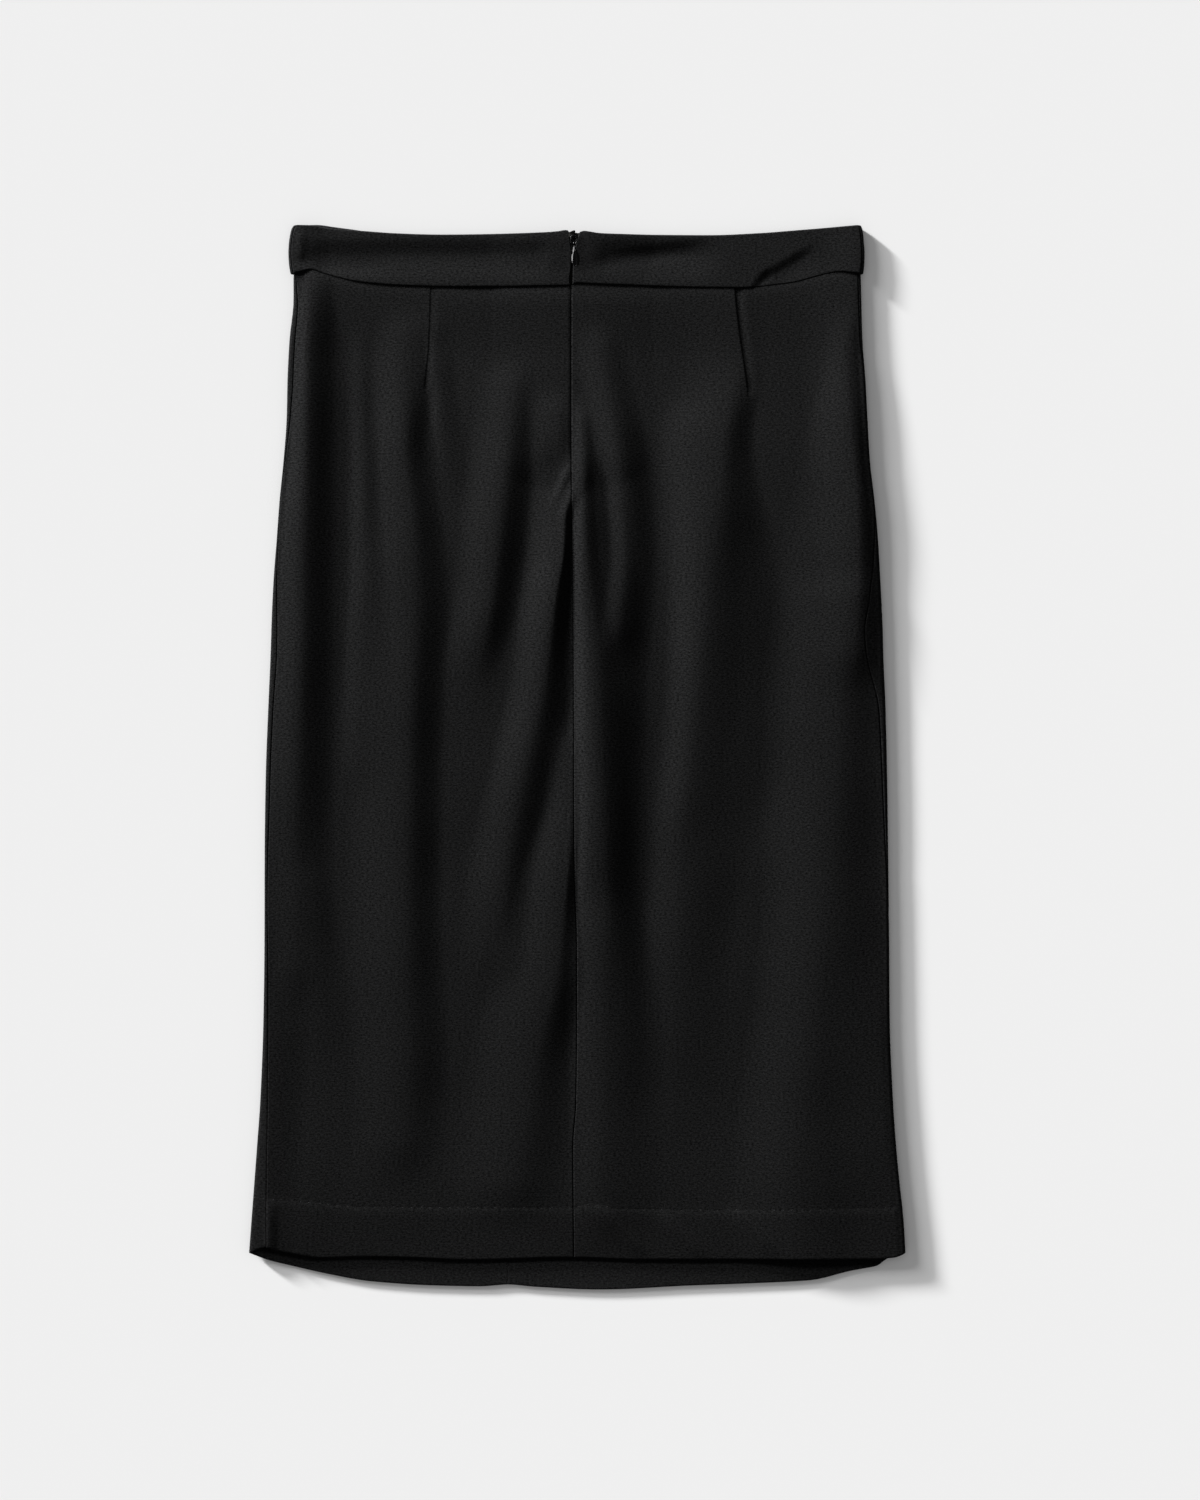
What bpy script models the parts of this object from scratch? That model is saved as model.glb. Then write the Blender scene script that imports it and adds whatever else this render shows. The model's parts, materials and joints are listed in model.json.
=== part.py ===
"""A black pencil skirt, lying flat on its front with its back upwards.

The skirt is a tube of cloth pressed flat. The back panels are its upper layer, the front panels its
lower layer, and the cloth rolls over from one to the other along both sides. A waistband in three
pieces closes its top, and a concealed zip runs down the centre back from the waistband's top edge.

Frame: metres, +Z up, +Y towards the waist, -X towards the wearer's left. The origin is the middle of
the skirt's outline, on the surface that it lies on. The tables are in millimetres: a level is the
distance below the highest point of the waistband, and MM turns millimetres into metres.
"""
from math import acos, cos, pi, radians, sin, tanh
from typing import Callable, NamedTuple

import bmesh
import bpy
from mathutils import Matrix, Vector

MM = 0.001

# ---------------------------------------------------------------- driving dimensions, millimetres
LAID_LENGTH = 723.6          # highest point of the waistband to the lowest point of the front hem
WALL = 1.2                   # one layer of the crepe with its seam allowances
HEM_WALL = 1.8               # the crepe and its turned-up hem
BAND_WALL = 1.8              # folded waistband with its interfacing
HEM_DEPTH = 34.0             # width of the turned-up hem
HEM_STEP = 3.0               # length over which the wall thickens into the hem
HEM_TURN_LEVEL = 652.0       # where the upper layer starts to rise over the turned-up hem
HEM_TURN_SETTLE = 14.0       # and the length over which it does
WAIST_LEVEL = 42.0           # level of the seam under the waistband at the zip
SEAM_GAP = 0.34              # clearance between two pieces at a seam
FINE_CELL = 1.4              # cells around a rolled edge
SEAM_CELL = 0.15             # narrow cell along a side seam, which keeps its rim square to the roll
SEAM_GROWTH = 2.1            # growth of the cells beside it
LAYER_ROOM = 0.7             # space between the two layers where nothing lifts the upper one
MOST_ROOM = 3.7              # the largest space that a fold leaves under the upper layer
SKIRT_ROLL_RADIUS = 2.3      # outside of the rolled side edges
BAND_ROLL_RADIUS = 2.8
LIFT_WIDTH = 30.0            # the lower layer comes down to the surface within this width
LEFT_SETTLE = 30.0           # the upper layer comes down from the left roll within this width
RIGHT_SETTLE = 42.0
BAND_SETTLE = 26.0
WAIST_SETTLE = 50.0          # the panels come down from the thicker waistband within this length
FRONT_SEAM = -47.5           # place of the front panels' seam, across the skirt

ZIP_LENGTH = 151.0           # tape of the closed zip
ZIP_TOP = 7.0                # level of the tape's upper end
ZIP_CENTRE = -3.4            # its middle, across the skirt
TAPE_WIDTH = 24.0
TAPE_THICKNESS = 0.8
ZIP_HALF_ROOM = 14.0         # half the width that the zip lifts evenly
ZIP_SETTLE = 36.0            # and the width over which the cloth comes down beside it
CLEARANCE = 0.35             # between the zip's parts and the cloth

PULL_LEAN = 4.5              # degrees that the hanging pull leans towards the wearer's right
HINGE_ACROSS = -2.2
HINGE_LEVEL = 13.8
BAR_RADIUS = 0.5
EYE_RADIUS = 1.25
EYE_BORE = 0.8
EYE_WIDTH = 1.4
PULL_LENGTH = 14.2
PULL_WIDTH = 6.5
PULL_THICKNESS = 1.2
LOOP_WIDTH = 3.8             # slider's loop, along the middle of its wire
LOOP_LENGTH = 5.2
LOOP_CORNER = 1.1
STEM_WIDTH = 1.6
STEM_LENGTH = 1.8
PLATE_WIDTH = 6.4
PLATE_LENGTH = 8.6
PLATE_THICKNESS = 0.8

ZIP_WALL_STEP = 12.0         # the tape follows the change of wall below the waistband
SLIDER_LEVEL = 17.0          # the tape lies under the slider's plate down to here
SLIDER_SETTLE = 10.0         # and comes up to the cloth over this length

HALF_WIDTH = 205.0           # width that a half's columns are shared out over
BAND_HALF_WIDTH = 195.0
BACK_CELL = 8.2              # widest cells of the pieces above and below
FRONT_CELL = 38.0
BAND_FRONT_CELL = 26.0
BACK_GROWTH = 1.3            # growth of the cells between the fine and the widest ones
FRONT_GROWTH = 1.4
LEFT_BACK_FINE = 4.0         # how far from its side seam each piece needs fine cells
RIGHT_BACK_FINE = 12.0
FRONT_FINE = 17.0
BAND_FRONT_FINE = 8.0
BODY_ROWS = 19               # rows of cells above the hem
HEM_ROWS = (HEM_DEPTH + HEM_STEP, HEM_DEPTH, HEM_DEPTH / 2, 0.0)
BAND_ROWS = 4


# ---------------------------------------------------------------- tables, millimetres
class Edge(NamedTuple):
    """Left and right ends of the outline at one level."""
    level: float
    left: float
    right: float


class Brim(NamedTuple):
    """Level of an upper or lower edge at one place across the skirt."""
    across: float
    level: float


class Inset(NamedTuple):
    """How far the side seams lie in from the rolled edges: positive on the back, negative below."""
    level: float
    left: float
    right: float


class Line(NamedTuple):
    """Place across the skirt at one level."""
    level: float
    across: float


class Roll(NamedTuple):
    """Height of the rolled edges' middle above the surface, on the left and the right."""
    level: float
    left: float
    right: float


class Fold(NamedTuple):
    """A long soft ridge of the upper layer: its crest at five even steps, and its flanks."""
    name: str
    start: float
    end: float
    crest: tuple
    height: float
    rise: float
    fall: float


class Room(NamedTuple):
    """Space between the layers that the zip takes up at one level."""
    level: float
    room: float


SKIRT_EDGES = (
    Edge(33.0, -192.8, 192.5), Edge(51.0, -192.7, 192.9), Edge(78.0, -195.4, 193.6),
    Edge(105.0, -196.8, 195.6), Edge(132.0, -197.4, 197.0), Edge(160.0, -199.5, 198.6),
    Edge(187.0, -202.2, 201.7), Edge(214.0, -204.2, 204.2), Edge(241.0, -206.3, 205.8),
    Edge(268.0, -207.6, 207.2), Edge(296.0, -208.5, 208.0), Edge(323.0, -209.7, 209.2),
    Edge(377.0, -211.7, 210.5), Edge(432.0, -212.4, 211.2), Edge(486.0, -212.5, 212.0),
    Edge(540.0, -213.2, 213.3), Edge(595.0, -215.3, 215.9), Edge(622.0, -217.2, 217.4),
    Edge(649.0, -219.2, 219.7), Edge(677.0, -221.3, 221.8), Edge(699.0, -222.9, 222.9),
)
BAND_EDGES = (
    Edge(0.5, -191.3, 192.4), Edge(3.2, -193.5, 193.6), Edge(7.3, -194.7, 194.2),
    Edge(12.0, -195.3, 194.6), Edge(19.0, -195.5, 195.0), Edge(27.0, -194.9, 194.5),
    Edge(33.5, -193.5, 193.2),
)
BACK_BAND_TOP = (
    Brim(-191.3, 0.5), Brim(-177.0, 0.7), Brim(-165.5, 2.7), Brim(-154.6, 3.8),
    Brim(-141.0, 4.9), Brim(-124.0, 6.1), Brim(-93.0, 6.7), Brim(-46.0, 6.0),
    Brim(-15.0, 5.2), Brim(-7.5, 4.6), Brim(3.2, 5.2), Brim(15.5, 5.7),
    Brim(56.0, 6.7), Brim(90.0, 7.3), Brim(124.0, 6.0), Brim(145.0, 4.2),
    Brim(172.0, 1.9), Brim(192.4, 0.5),
)
FRONT_BAND_TOP = (
    Brim(-191.3, 0.5), Brim(-177.0, 0.0), Brim(-165.0, 1.5), Brim(-150.0, 3.5),
    Brim(-124.0, 7.5), Brim(0.0, 10.0), Brim(150.0, 7.5), Brim(172.0, 3.0),
    Brim(192.4, 0.5),
)
BACK_WAIST_SEAM = (
    Brim(-193.4, 33.9), Brim(-187.2, 32.5), Brim(-181.0, 31.1), Brim(-173.0, 33.4),
    Brim(-164.0, 35.9), Brim(-152.6, 38.6), Brim(-142.4, 40.0), Brim(-121.3, 41.7),
    Brim(-80.0, 42.7), Brim(-22.0, 42.2), Brim(-4.3, 41.8), Brim(-1.5, 40.4),
    Brim(19.0, 41.2), Brim(110.6, 43.4), Brim(137.8, 40.9), Brim(147.3, 39.6),
    Brim(158.9, 36.6), Brim(169.1, 33.9), Brim(178.6, 32.5), Brim(193.0, 33.9),
)
FRONT_WAIST_SEAM = (
    Brim(-193.4, 33.9), Brim(-150.0, 40.5), Brim(0.0, 46.0), Brim(150.0, 40.5),
    Brim(193.0, 33.9),
)
BACK_HEM = (
    Brim(-222.9, 698.6), Brim(-217.2, 695.8), Brim(-211.7, 694.3), Brim(-202.2, 696.9),
    Brim(-188.6, 699.6), Brim(-173.6, 701.6), Brim(-145.0, 700.9), Brim(-115.0, 701.4),
    Brim(-73.0, 703.0), Brim(-6.4, 701.3), Brim(42.6, 702.8), Brim(199.0, 702.3),
    Brim(214.6, 701.4), Brim(222.9, 698.6),
)
FRONT_HEM = (
    Brim(-222.9, 698.6), Brim(-209.0, 703.7), Brim(-195.4, 707.1), Brim(-168.2, 713.2),
    Brim(-141.0, 717.9), Brim(-100.0, 720.7), Brim(-66.0, 721.4), Brim(-47.0, 720.2),
    Brim(-29.0, 721.7), Brim(15.4, 723.6), Brim(76.6, 720.9), Brim(117.4, 719.4),
    Brim(158.2, 717.3), Brim(185.4, 710.5), Brim(209.2, 702.0), Brim(222.9, 698.6),
)
SIDE_SEAMS = (
    Inset(34.0, 1.8, 2.0), Inset(78.0, 4.0, 1.6), Inset(105.0, 4.0, 0.3), Inset(132.0, 2.7, 0.3),
    Inset(160.0, 1.2, 0.3), Inset(190.0, 0.3, 0.6), Inset(228.0, 1.8, 4.1), Inset(254.0, 3.2, 8.4),
    Inset(277.0, 4.2, 12.6), Inset(291.0, 4.4, 11.8), Inset(330.0, 3.6, 4.6), Inset(391.0, 3.2, 3.0),
    Inset(459.0, 2.0, 0.5), Inset(500.0, 2.7, -1.5), Inset(568.0, 4.1, -3.5), Inset(636.0, 7.5, -5.0),
    Inset(699.0, 12.0, -6.0),
)
SKIRT_ROLLS = (
    Roll(34.0, 2.8, 2.7), Roll(78.0, 2.9, 3.0), Roll(132.0, 2.9, 3.8), Roll(187.0, 2.9, 3.8),
    Roll(241.0, 2.8, 2.9), Roll(296.0, 2.7, 2.6), Roll(350.0, 2.5, 2.3), Roll(404.0, 2.4, 2.3),
    Roll(473.0, 2.4, 2.5), Roll(540.0, 2.6, 3.0), Roll(609.0, 3.0, 3.5), Roll(663.0, 3.3, 3.9),
    Roll(699.0, 3.6, 4.2),
)
BAND_ROLLS = (Roll(0.0, 2.8, 2.8), Roll(18.0, 3.0, 3.0), Roll(34.0, 2.9, 2.9))
BAND_SEAM_INSET = 1.9
CENTRE_BACK = (
    Line(41.0, -4.0), Line(156.0, -4.0), Line(255.0, -3.0), Line(323.0, -2.5), Line(438.0, -1.9),
    Line(493.0, -0.2), Line(535.0, -0.2), Line(596.0, -0.9), Line(626.0, -2.9), Line(702.0, -2.3),
)
BAND_LEFT_END = (
    Line(4.6, -6.2), Line(8.7, -5.2), Line(14.0, -4.4), Line(21.0, -3.8), Line(28.0, -4.0),
    Line(33.0, -4.6), Line(37.5, -5.2), Line(42.0, -4.6),
)
BAND_RIGHT_END = (
    Line(5.2, 1.7), Line(10.0, 0.3), Line(15.0, -1.2), Line(21.0, -2.6), Line(28.0, -3.0),
    Line(41.0, -3.2),
)
FOLDS = (
    Fold("left side", 20.0, 440.0, (-180.5, -182.0, -183.5, -185.0, -190.0), 2.8, 26.0, 18.0),
    Fold("left dart", 95.0, 640.0, (-120.6, -105.0, -112.4, -113.1, -107.0), 2.3, 32.0, 14.0),
    Fold("left seat", 108.0, 337.0, (-43.8, -45.1, -51.2, -59.4, -65.5), 1.9, 28.0, 13.0),
    Fold("zip end", 170.0, 517.0, (-10.4, -15.0, -25.0, -41.5, -52.6), 2.5, 34.0, 13.0),
    Fold("centre back", 71.0, 568.0, (19.5, 35.1, 27.6, 24.2, 32.4), 2.3, 30.0, 13.0),
    Fold("right dart", 60.0, 270.0, (103.1, 107.9, 109.9, 114.7, 116.0), 2.3, 34.0, 14.0),
    Fold("right thigh", 245.0, 527.0, (112.0, 97.0, 80.0, 73.0, 74.0), 1.2, 40.0, 24.0),
)
ZIP_ROOMS = (
    Room(0.0, 2.6), Room(20.0, 2.6), Room(34.0, 2.0), Room(60.0, 1.8), Room(155.0, 1.8),
    Room(190.0, 0.0),
)


# ---------------------------------------------------------------- curves and blends
def smooth_curve(stations, values) -> Callable[[float], float]:
    """Curve through the values that never overshoots them, and is level beyond its ends."""
    count = len(stations)
    steps = [stations[i + 1] - stations[i] for i in range(count - 1)]
    slants = [(values[i + 1] - values[i]) / steps[i] for i in range(count - 1)]
    slopes = [slants[0]]
    for before, after in zip(slants, slants[1:]):
        slopes.append(2 * before * after / (before + after) if before * after > 0 else 0.0)
    slopes.append(slants[-1])

    def value_at(station: float) -> float:
        if station <= stations[0]:
            return values[0]
        if station >= stations[-1]:
            return values[-1]
        i = next(k for k in range(count - 1) if station <= stations[k + 1])
        t = (station - stations[i]) / steps[i]
        s = 1 - t
        return (values[i] * s * s * (1 + 2 * t) + values[i + 1] * t * t * (1 + 2 * s)
                + steps[i] * s * t * (slopes[i] * s - slopes[i + 1] * t))
    return value_at


def column_curve(table, station: str, value: str) -> Callable[[float], float]:
    """Smooth curve of one column of a table against another."""
    return smooth_curve([getattr(row, station) for row in table],
                        [getattr(row, value) for row in table])


def ease(t: float) -> float:
    """0 before 0, 1 after 1, and level at both ends in between."""
    t = min(max(t, 0.0), 1.0)
    return t * t * (3 - 2 * t)


def mix(a: float, b: float, t: float) -> float:
    """a at t = 0 and b at t = 1."""
    return a + (b - a) * t


def graded_stations(total: float, fine_reach: float, growth: float, largest: float) -> list:
    """Fractions of total: narrow cells at the seam, fine steps past the roll, then wider ones."""
    places = [0.0]
    step = SEAM_CELL
    while places[-1] < total:
        places.append(places[-1] + step)
        limit = FINE_CELL if places[-1] < fine_reach else largest
        step = min(step * (SEAM_GROWTH if step < FINE_CELL else growth), limit)
    return [place / places[-1] for place in places]


skirt_left = column_curve(SKIRT_EDGES, "level", "left")
skirt_right = column_curve(SKIRT_EDGES, "level", "right")
band_left = column_curve(BAND_EDGES, "level", "left")
band_right = column_curve(BAND_EDGES, "level", "right")
back_band_top = column_curve(BACK_BAND_TOP, "across", "level")
front_band_top = column_curve(FRONT_BAND_TOP, "across", "level")
back_waist_seam = column_curve(BACK_WAIST_SEAM, "across", "level")
front_waist_seam = column_curve(FRONT_WAIST_SEAM, "across", "level")
back_hem = column_curve(BACK_HEM, "across", "level")
front_hem = column_curve(FRONT_HEM, "across", "level")
left_inset = column_curve(SIDE_SEAMS, "level", "left")
right_inset = column_curve(SIDE_SEAMS, "level", "right")
centre_back = column_curve(CENTRE_BACK, "level", "across")
band_left_end = column_curve(BAND_LEFT_END, "level", "across")
band_right_end = column_curve(BAND_RIGHT_END, "level", "across")
zip_room = column_curve(ZIP_ROOMS, "level", "room")
skirt_left_roll = column_curve(SKIRT_ROLLS, "level", "left")
skirt_right_roll = column_curve(SKIRT_ROLLS, "level", "right")
band_left_roll = column_curve(BAND_ROLLS, "level", "left")
band_right_roll = column_curve(BAND_ROLLS, "level", "right")
fold_crests = [smooth_curve([mix(f.start, f.end, i / 4) for i in range(5)], f.crest) for f in FOLDS]


# ---------------------------------------------------------------- form of the flattened tube
def fold_height(fold: Fold, crest: Callable[[float], float], across: float, level: float) -> float:
    """Height of one fold: it grows in, runs and fades out, steeper on its right flank."""
    if not fold.start < level < fold.end:
        return 0.0
    t = (level - fold.start) / (fold.end - fold.start)
    strength = ease(t / 0.2) * ease((1 - t) / 0.35)
    offset = across - crest(level)
    flank = fold.rise if offset < 0 else fold.fall
    return fold.height * strength * ease(1 - abs(offset) / flank)


def zip_lift(across: float, level: float) -> float:
    """Space between the layers that the zip asks for: even over its tape, then fading."""
    beside = abs(across - ZIP_CENTRE) - ZIP_HALF_ROOM
    return zip_room(level) * (1 - ease(beside / ZIP_SETTLE))


def skirt_room(across: float, level: float) -> float:
    """Space between the two layers inside the skirt, away from its rolled edges."""
    folds = sum(fold_height(f, c, across, level) for f, c in zip(FOLDS, fold_crests))
    waist = 2 * (BAND_WALL - WALL) * (1 - ease((level - WAIST_LEVEL) / WAIST_SETTLE))
    lifted = max(zip_lift(across, level) - LAYER_ROOM, 0.0) + folds + waist
    free = MOST_ROOM - LAYER_ROOM
    return LAYER_ROOM + free * tanh(lifted / free)


def skirt_walls(level: float) -> float:
    """Thickness of the two layers together, with the hem's turning near the bottom."""
    return 2 * mix(WALL, HEM_WALL, ease((level - HEM_TURN_LEVEL) / HEM_TURN_SETTLE))


def band_room(across: float, level: float) -> float:
    """Space between the two layers inside the waistband."""
    return max(zip_lift(across, level), LAYER_ROOM)


class Tube(NamedTuple):
    """A flattened tube of cloth: two layers joined by a rolled edge on either side."""
    left_edge: Callable[[float], float]
    right_edge: Callable[[float], float]
    roll_radius: float
    left_roll: Callable[[float], float]
    right_roll: Callable[[float], float]
    left_settle: float
    right_settle: float
    walls: Callable[[float], float]
    room: Callable[[float, float], float]

    def edge(self, side: int, level: float) -> float:
        """Outermost place on one side: -1 is left, 1 is right."""
        return self.left_edge(level) if side < 0 else self.right_edge(level)

    def roll_height(self, side: int, level: float) -> float:
        """Height of the rolled edge's middle on one side."""
        return self.left_roll(level) if side < 0 else self.right_roll(level)

    def nearest_side(self, across: float, level: float) -> tuple:
        """The nearer side and how far in from its roll's tangent the place lies."""
        left = across - self.left_edge(level)
        right = self.right_edge(level) - across
        side = -1 if left < right else 1
        return side, min(left, right) - self.roll_radius

    def underside(self, across: float, level: float) -> float:
        """Outer height of the lower layer: flat on the surface, and lifted beside the rolls."""
        side, inset = self.nearest_side(across, level)
        lift = self.roll_height(side, level) - self.roll_radius
        return lift * (1 - ease(inset / LIFT_WIDTH))

    def top(self, across: float, level: float) -> float:
        """Outer height of the upper layer."""
        side, inset = self.nearest_side(across, level)
        settle = self.left_settle if side < 0 else self.right_settle
        resting = self.walls(level) + self.room(across, level)
        rolled = self.roll_height(side, level) + self.roll_radius
        return mix(rolled, resting, ease(inset / settle))

    def around_at(self, side: int, inset: float) -> float:
        """Distance along the cloth from the outermost line to a place this far in from it."""
        if abs(inset) < self.roll_radius:
            distance = self.roll_radius * acos(1 - abs(inset) / self.roll_radius)
        else:
            distance = abs(inset) + self.roll_radius * (pi / 2 - 1)
        return distance if inset >= 0 else -distance

    def point(self, side: int, around: float, level: float) -> tuple:
        """Place across and height of a point of the outer face, given along the cloth."""
        quarter = self.roll_radius * pi / 2
        edge = self.edge(side, level)
        if abs(around) <= quarter:
            turn = around / self.roll_radius
            across = edge - side * self.roll_radius * (1 - cos(turn))
            return across, self.roll_height(side, level) + self.roll_radius * sin(turn)
        across = edge - side * (self.roll_radius + abs(around) - quarter)
        height = self.top(across, level) if around > 0 else self.underside(across, level)
        return across, height


SKIRT = Tube(skirt_left, skirt_right, SKIRT_ROLL_RADIUS, skirt_left_roll, skirt_right_roll,
             LEFT_SETTLE, RIGHT_SETTLE, skirt_walls, skirt_room)
BAND = Tube(band_left, band_right, BAND_ROLL_RADIUS, band_left_roll, band_right_roll,
            BAND_SETTLE, BAND_SETTLE, lambda level: 2 * BAND_WALL, band_room)


def place(across: float, level: float, height: float) -> Vector:
    """Point of the frame, in metres, from millimetres across, down and up."""
    return Vector((across, LAID_LENGTH / 2 - level, height)) * MM


# ---------------------------------------------------------------- cut pieces
class Cut(NamedTuple):
    """A piece of the tube between its side seam and its inner end, on the back or the front."""
    name: str
    tube: Tube
    side: int
    is_back: bool
    seam_inset: Callable[[float], float]
    inner_end: Callable[[float], float]
    upper: Callable[[float, bool], float]
    lower: Callable[[float, bool], float]
    wall: float
    rows: int
    hem_rows: tuple
    columns: list


def around_of(cut: Cut, fraction: float, level: float) -> float:
    """Distance along the cloth of a column: 0 is at the side seam and 1 at the inner end."""
    face = 1 if cut.is_back else -1
    seam = cut.tube.around_at(cut.side, cut.seam_inset(level)) + face * SEAM_GAP / 2
    reach = -cut.side * (cut.inner_end(level) - cut.tube.edge(cut.side, level)) - SEAM_GAP / 2
    return mix(seam, face * cut.tube.around_at(cut.side, reach), fraction)


def column_levels(cut: Cut, fraction: float) -> list:
    """Levels of one column's points, from its lower edge up to its upper edge."""
    ends = []
    for brim, guess in ((cut.upper, WAIST_LEVEL), (cut.lower, LAID_LENGTH)):
        across = 0.0
        level = guess
        for _ in range(4):
            around = around_of(cut, fraction, level)
            across, _ = cut.tube.point(cut.side, around, level)
            level = brim(across, around > 0)
        ends.append(level)
    top, bottom = ends
    if not cut.hem_rows:
        return [mix(bottom, top, i / cut.rows) for i in range(cut.rows + 1)]
    hem = [bottom - depth for depth in reversed(cut.hem_rows)]
    return hem + [mix(hem[-1], top, i / cut.rows) for i in range(1, cut.rows + 1)]


def cut_piece(cut: Cut) -> bpy.types.Object:
    """Lay a grid over the piece's outer face, in order round the tube, and give it its wall."""
    columns = cut.columns
    seam_first = (cut.side < 0) == cut.is_back
    fractions = columns if seam_first else [columns[-1 - i] for i in range(len(columns))]
    grids = [column_levels(cut, fraction) for fraction in fractions]
    n_columns = len(fractions) - 1
    n_rows = len(grids[0]) - 1

    mesh = bpy.data.meshes.new(cut.name)
    grid = bmesh.new()
    bmesh.ops.create_grid(grid, x_segments=n_columns, y_segments=n_rows, size=0.5)
    weights = {}
    for vertex in grid.verts:
        column = round((vertex.co.x + 0.5) * n_columns)
        row = round((vertex.co.y + 0.5) * n_rows)
        level = grids[column][row]
        around = around_of(cut, fractions[column], level)
        across, height = cut.tube.point(cut.side, around, level)
        vertex.co = place(across, level, height)
        weights[vertex.index] = 1.0 if row < len(cut.hem_rows) - 1 else cut.wall / HEM_WALL
    grid.to_mesh(mesh)
    grid.free()

    piece = bpy.data.objects.new(cut.name, mesh)
    parts_collection.objects.link(piece)
    wall = piece.modifiers.new("Wall", "SOLIDIFY")
    wall.offset = -1
    wall.use_quality_normals = True
    if cut.hem_rows:
        group = piece.vertex_groups.new(name="wall")
        for index, weight in weights.items():
            group.add([index], weight, "REPLACE")
        wall.vertex_group = group.name
        wall.thickness = HEM_WALL * MM
    else:
        wall.thickness = cut.wall * MM
    mesh.shade_smooth()
    mesh.materials.append(crepe)
    return piece


def waist_level(across: float, on_back: bool) -> float:
    """Level of the seam under the waistband."""
    return back_waist_seam(across) if on_back else front_waist_seam(across)


def band_top_level(across: float, on_back: bool) -> float:
    """Level of the waistband's top edge."""
    return back_band_top(across) if on_back else front_band_top(across)


def panel_top_level(across: float, on_back: bool) -> float:
    """Level of a panel's top edge, just below the waistband."""
    return waist_level(across, on_back) + SEAM_GAP


def hem_level(across: float, on_back: bool) -> float:
    """Level of the hem's edge."""
    return back_hem(across) if on_back else front_hem(across)


def make_panels() -> None:
    """Two back panels above and two front panels below."""
    panels = ((-1, "left", left_inset, LEFT_BACK_FINE), (1, "right", right_inset, RIGHT_BACK_FINE))
    for side, word, inset, back_fine in panels:
        back = graded_stations(HALF_WIDTH, back_fine, BACK_GROWTH, BACK_CELL)
        front = graded_stations(HALF_WIDTH, FRONT_FINE, FRONT_GROWTH, FRONT_CELL)
        cut_piece(Cut("back_" + word, SKIRT, side, True, inset, centre_back, panel_top_level,
                      hem_level, WALL, BODY_ROWS, HEM_ROWS, back))
        cut_piece(Cut("front_" + word, SKIRT, side, False, inset, lambda level: FRONT_SEAM,
                      panel_top_level, hem_level, WALL, BODY_ROWS, HEM_ROWS, front))


def make_waistband() -> None:
    """Two back pieces that meet at the zip, and one front piece from side seam to side seam."""
    columns = graded_stations(HALF_WIDTH, LEFT_BACK_FINE, BACK_GROWTH, BACK_CELL)
    ends = {-1: band_left_end, 1: band_right_end}
    for side, word in ((-1, "left"), (1, "right")):
        cut_piece(Cut("waistband_back_" + word, BAND, side, True, lambda level: BAND_SEAM_INSET,
                      ends[side], band_top_level, waist_level, BAND_WALL, BAND_ROWS, (), columns))
    make_front_band(graded_stations(BAND_HALF_WIDTH, BAND_FRONT_FINE, FRONT_GROWTH,
                                    BAND_FRONT_CELL))


def make_front_band(columns: list) -> None:
    """The front waistband: one half from each side seam to the middle, joined there."""
    halves = []
    for side in (-1, 1):
        half = cut_piece(Cut("waistband_front", BAND, side, False, lambda level: BAND_SEAM_INSET,
                             lambda level: -side * SEAM_GAP / 2, band_top_level, waist_level,
                             BAND_WALL, BAND_ROWS, (), columns))
        halves.append(half)
    left, right = halves
    joined = bmesh.new()
    joined.from_mesh(left.data)
    joined.from_mesh(right.data)
    bmesh.ops.remove_doubles(joined, verts=joined.verts, dist=0.05 * MM)
    joined.to_mesh(left.data)
    joined.free()
    bpy.data.objects.remove(right)


# ---------------------------------------------------------------- zip
def make_tape() -> None:
    """The closed zip's tape, under the back pieces: moved in from their outer face."""
    mesh = bpy.data.meshes.new("zip_tape")
    grid = bmesh.new()
    bmesh.ops.create_grid(grid, x_segments=4, y_segments=14, size=0.5)
    for vertex in grid.verts:
        across = ZIP_CENTRE + TAPE_WIDTH * vertex.co.x
        level = ZIP_TOP + ZIP_LENGTH * (0.5 - vertex.co.y)
        beyond_slider = ease((level - SLIDER_LEVEL) / SLIDER_SETTLE)
        under_slider = (PLATE_THICKNESS + CLEARANCE) * (1 - beyond_slider)
        wall = mix(BAND_WALL, WALL, ease((level - WAIST_LEVEL) / ZIP_WALL_STEP))
        tube = BAND if level < WAIST_LEVEL else SKIRT
        vertex.co = place(across, level, tube.top(across, level) - wall - CLEARANCE - under_slider)
    grid.to_mesh(mesh)
    grid.free()
    tape = bpy.data.objects.new("zip_tape", mesh)
    parts_collection.objects.link(tape)
    wall = tape.modifiers.new("Wall", "SOLIDIFY")
    wall.offset = -1
    wall.thickness = TAPE_THICKNESS * MM
    mesh.materials.append(tape_cloth)


def add_box(name: str, size: tuple, centre: tuple) -> bpy.types.Object:
    """A box of this size, in millimetres, about this centre."""
    mesh = bpy.data.meshes.new(name)
    box = bmesh.new()
    bmesh.ops.create_cube(box, size=1.0, matrix=Matrix.Translation(Vector(centre) * MM)
                          @ Matrix.Diagonal((*(Vector(size) * MM), 1.0)))
    box.to_mesh(mesh)
    box.free()
    return bpy.data.objects.new(name, mesh)


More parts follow.
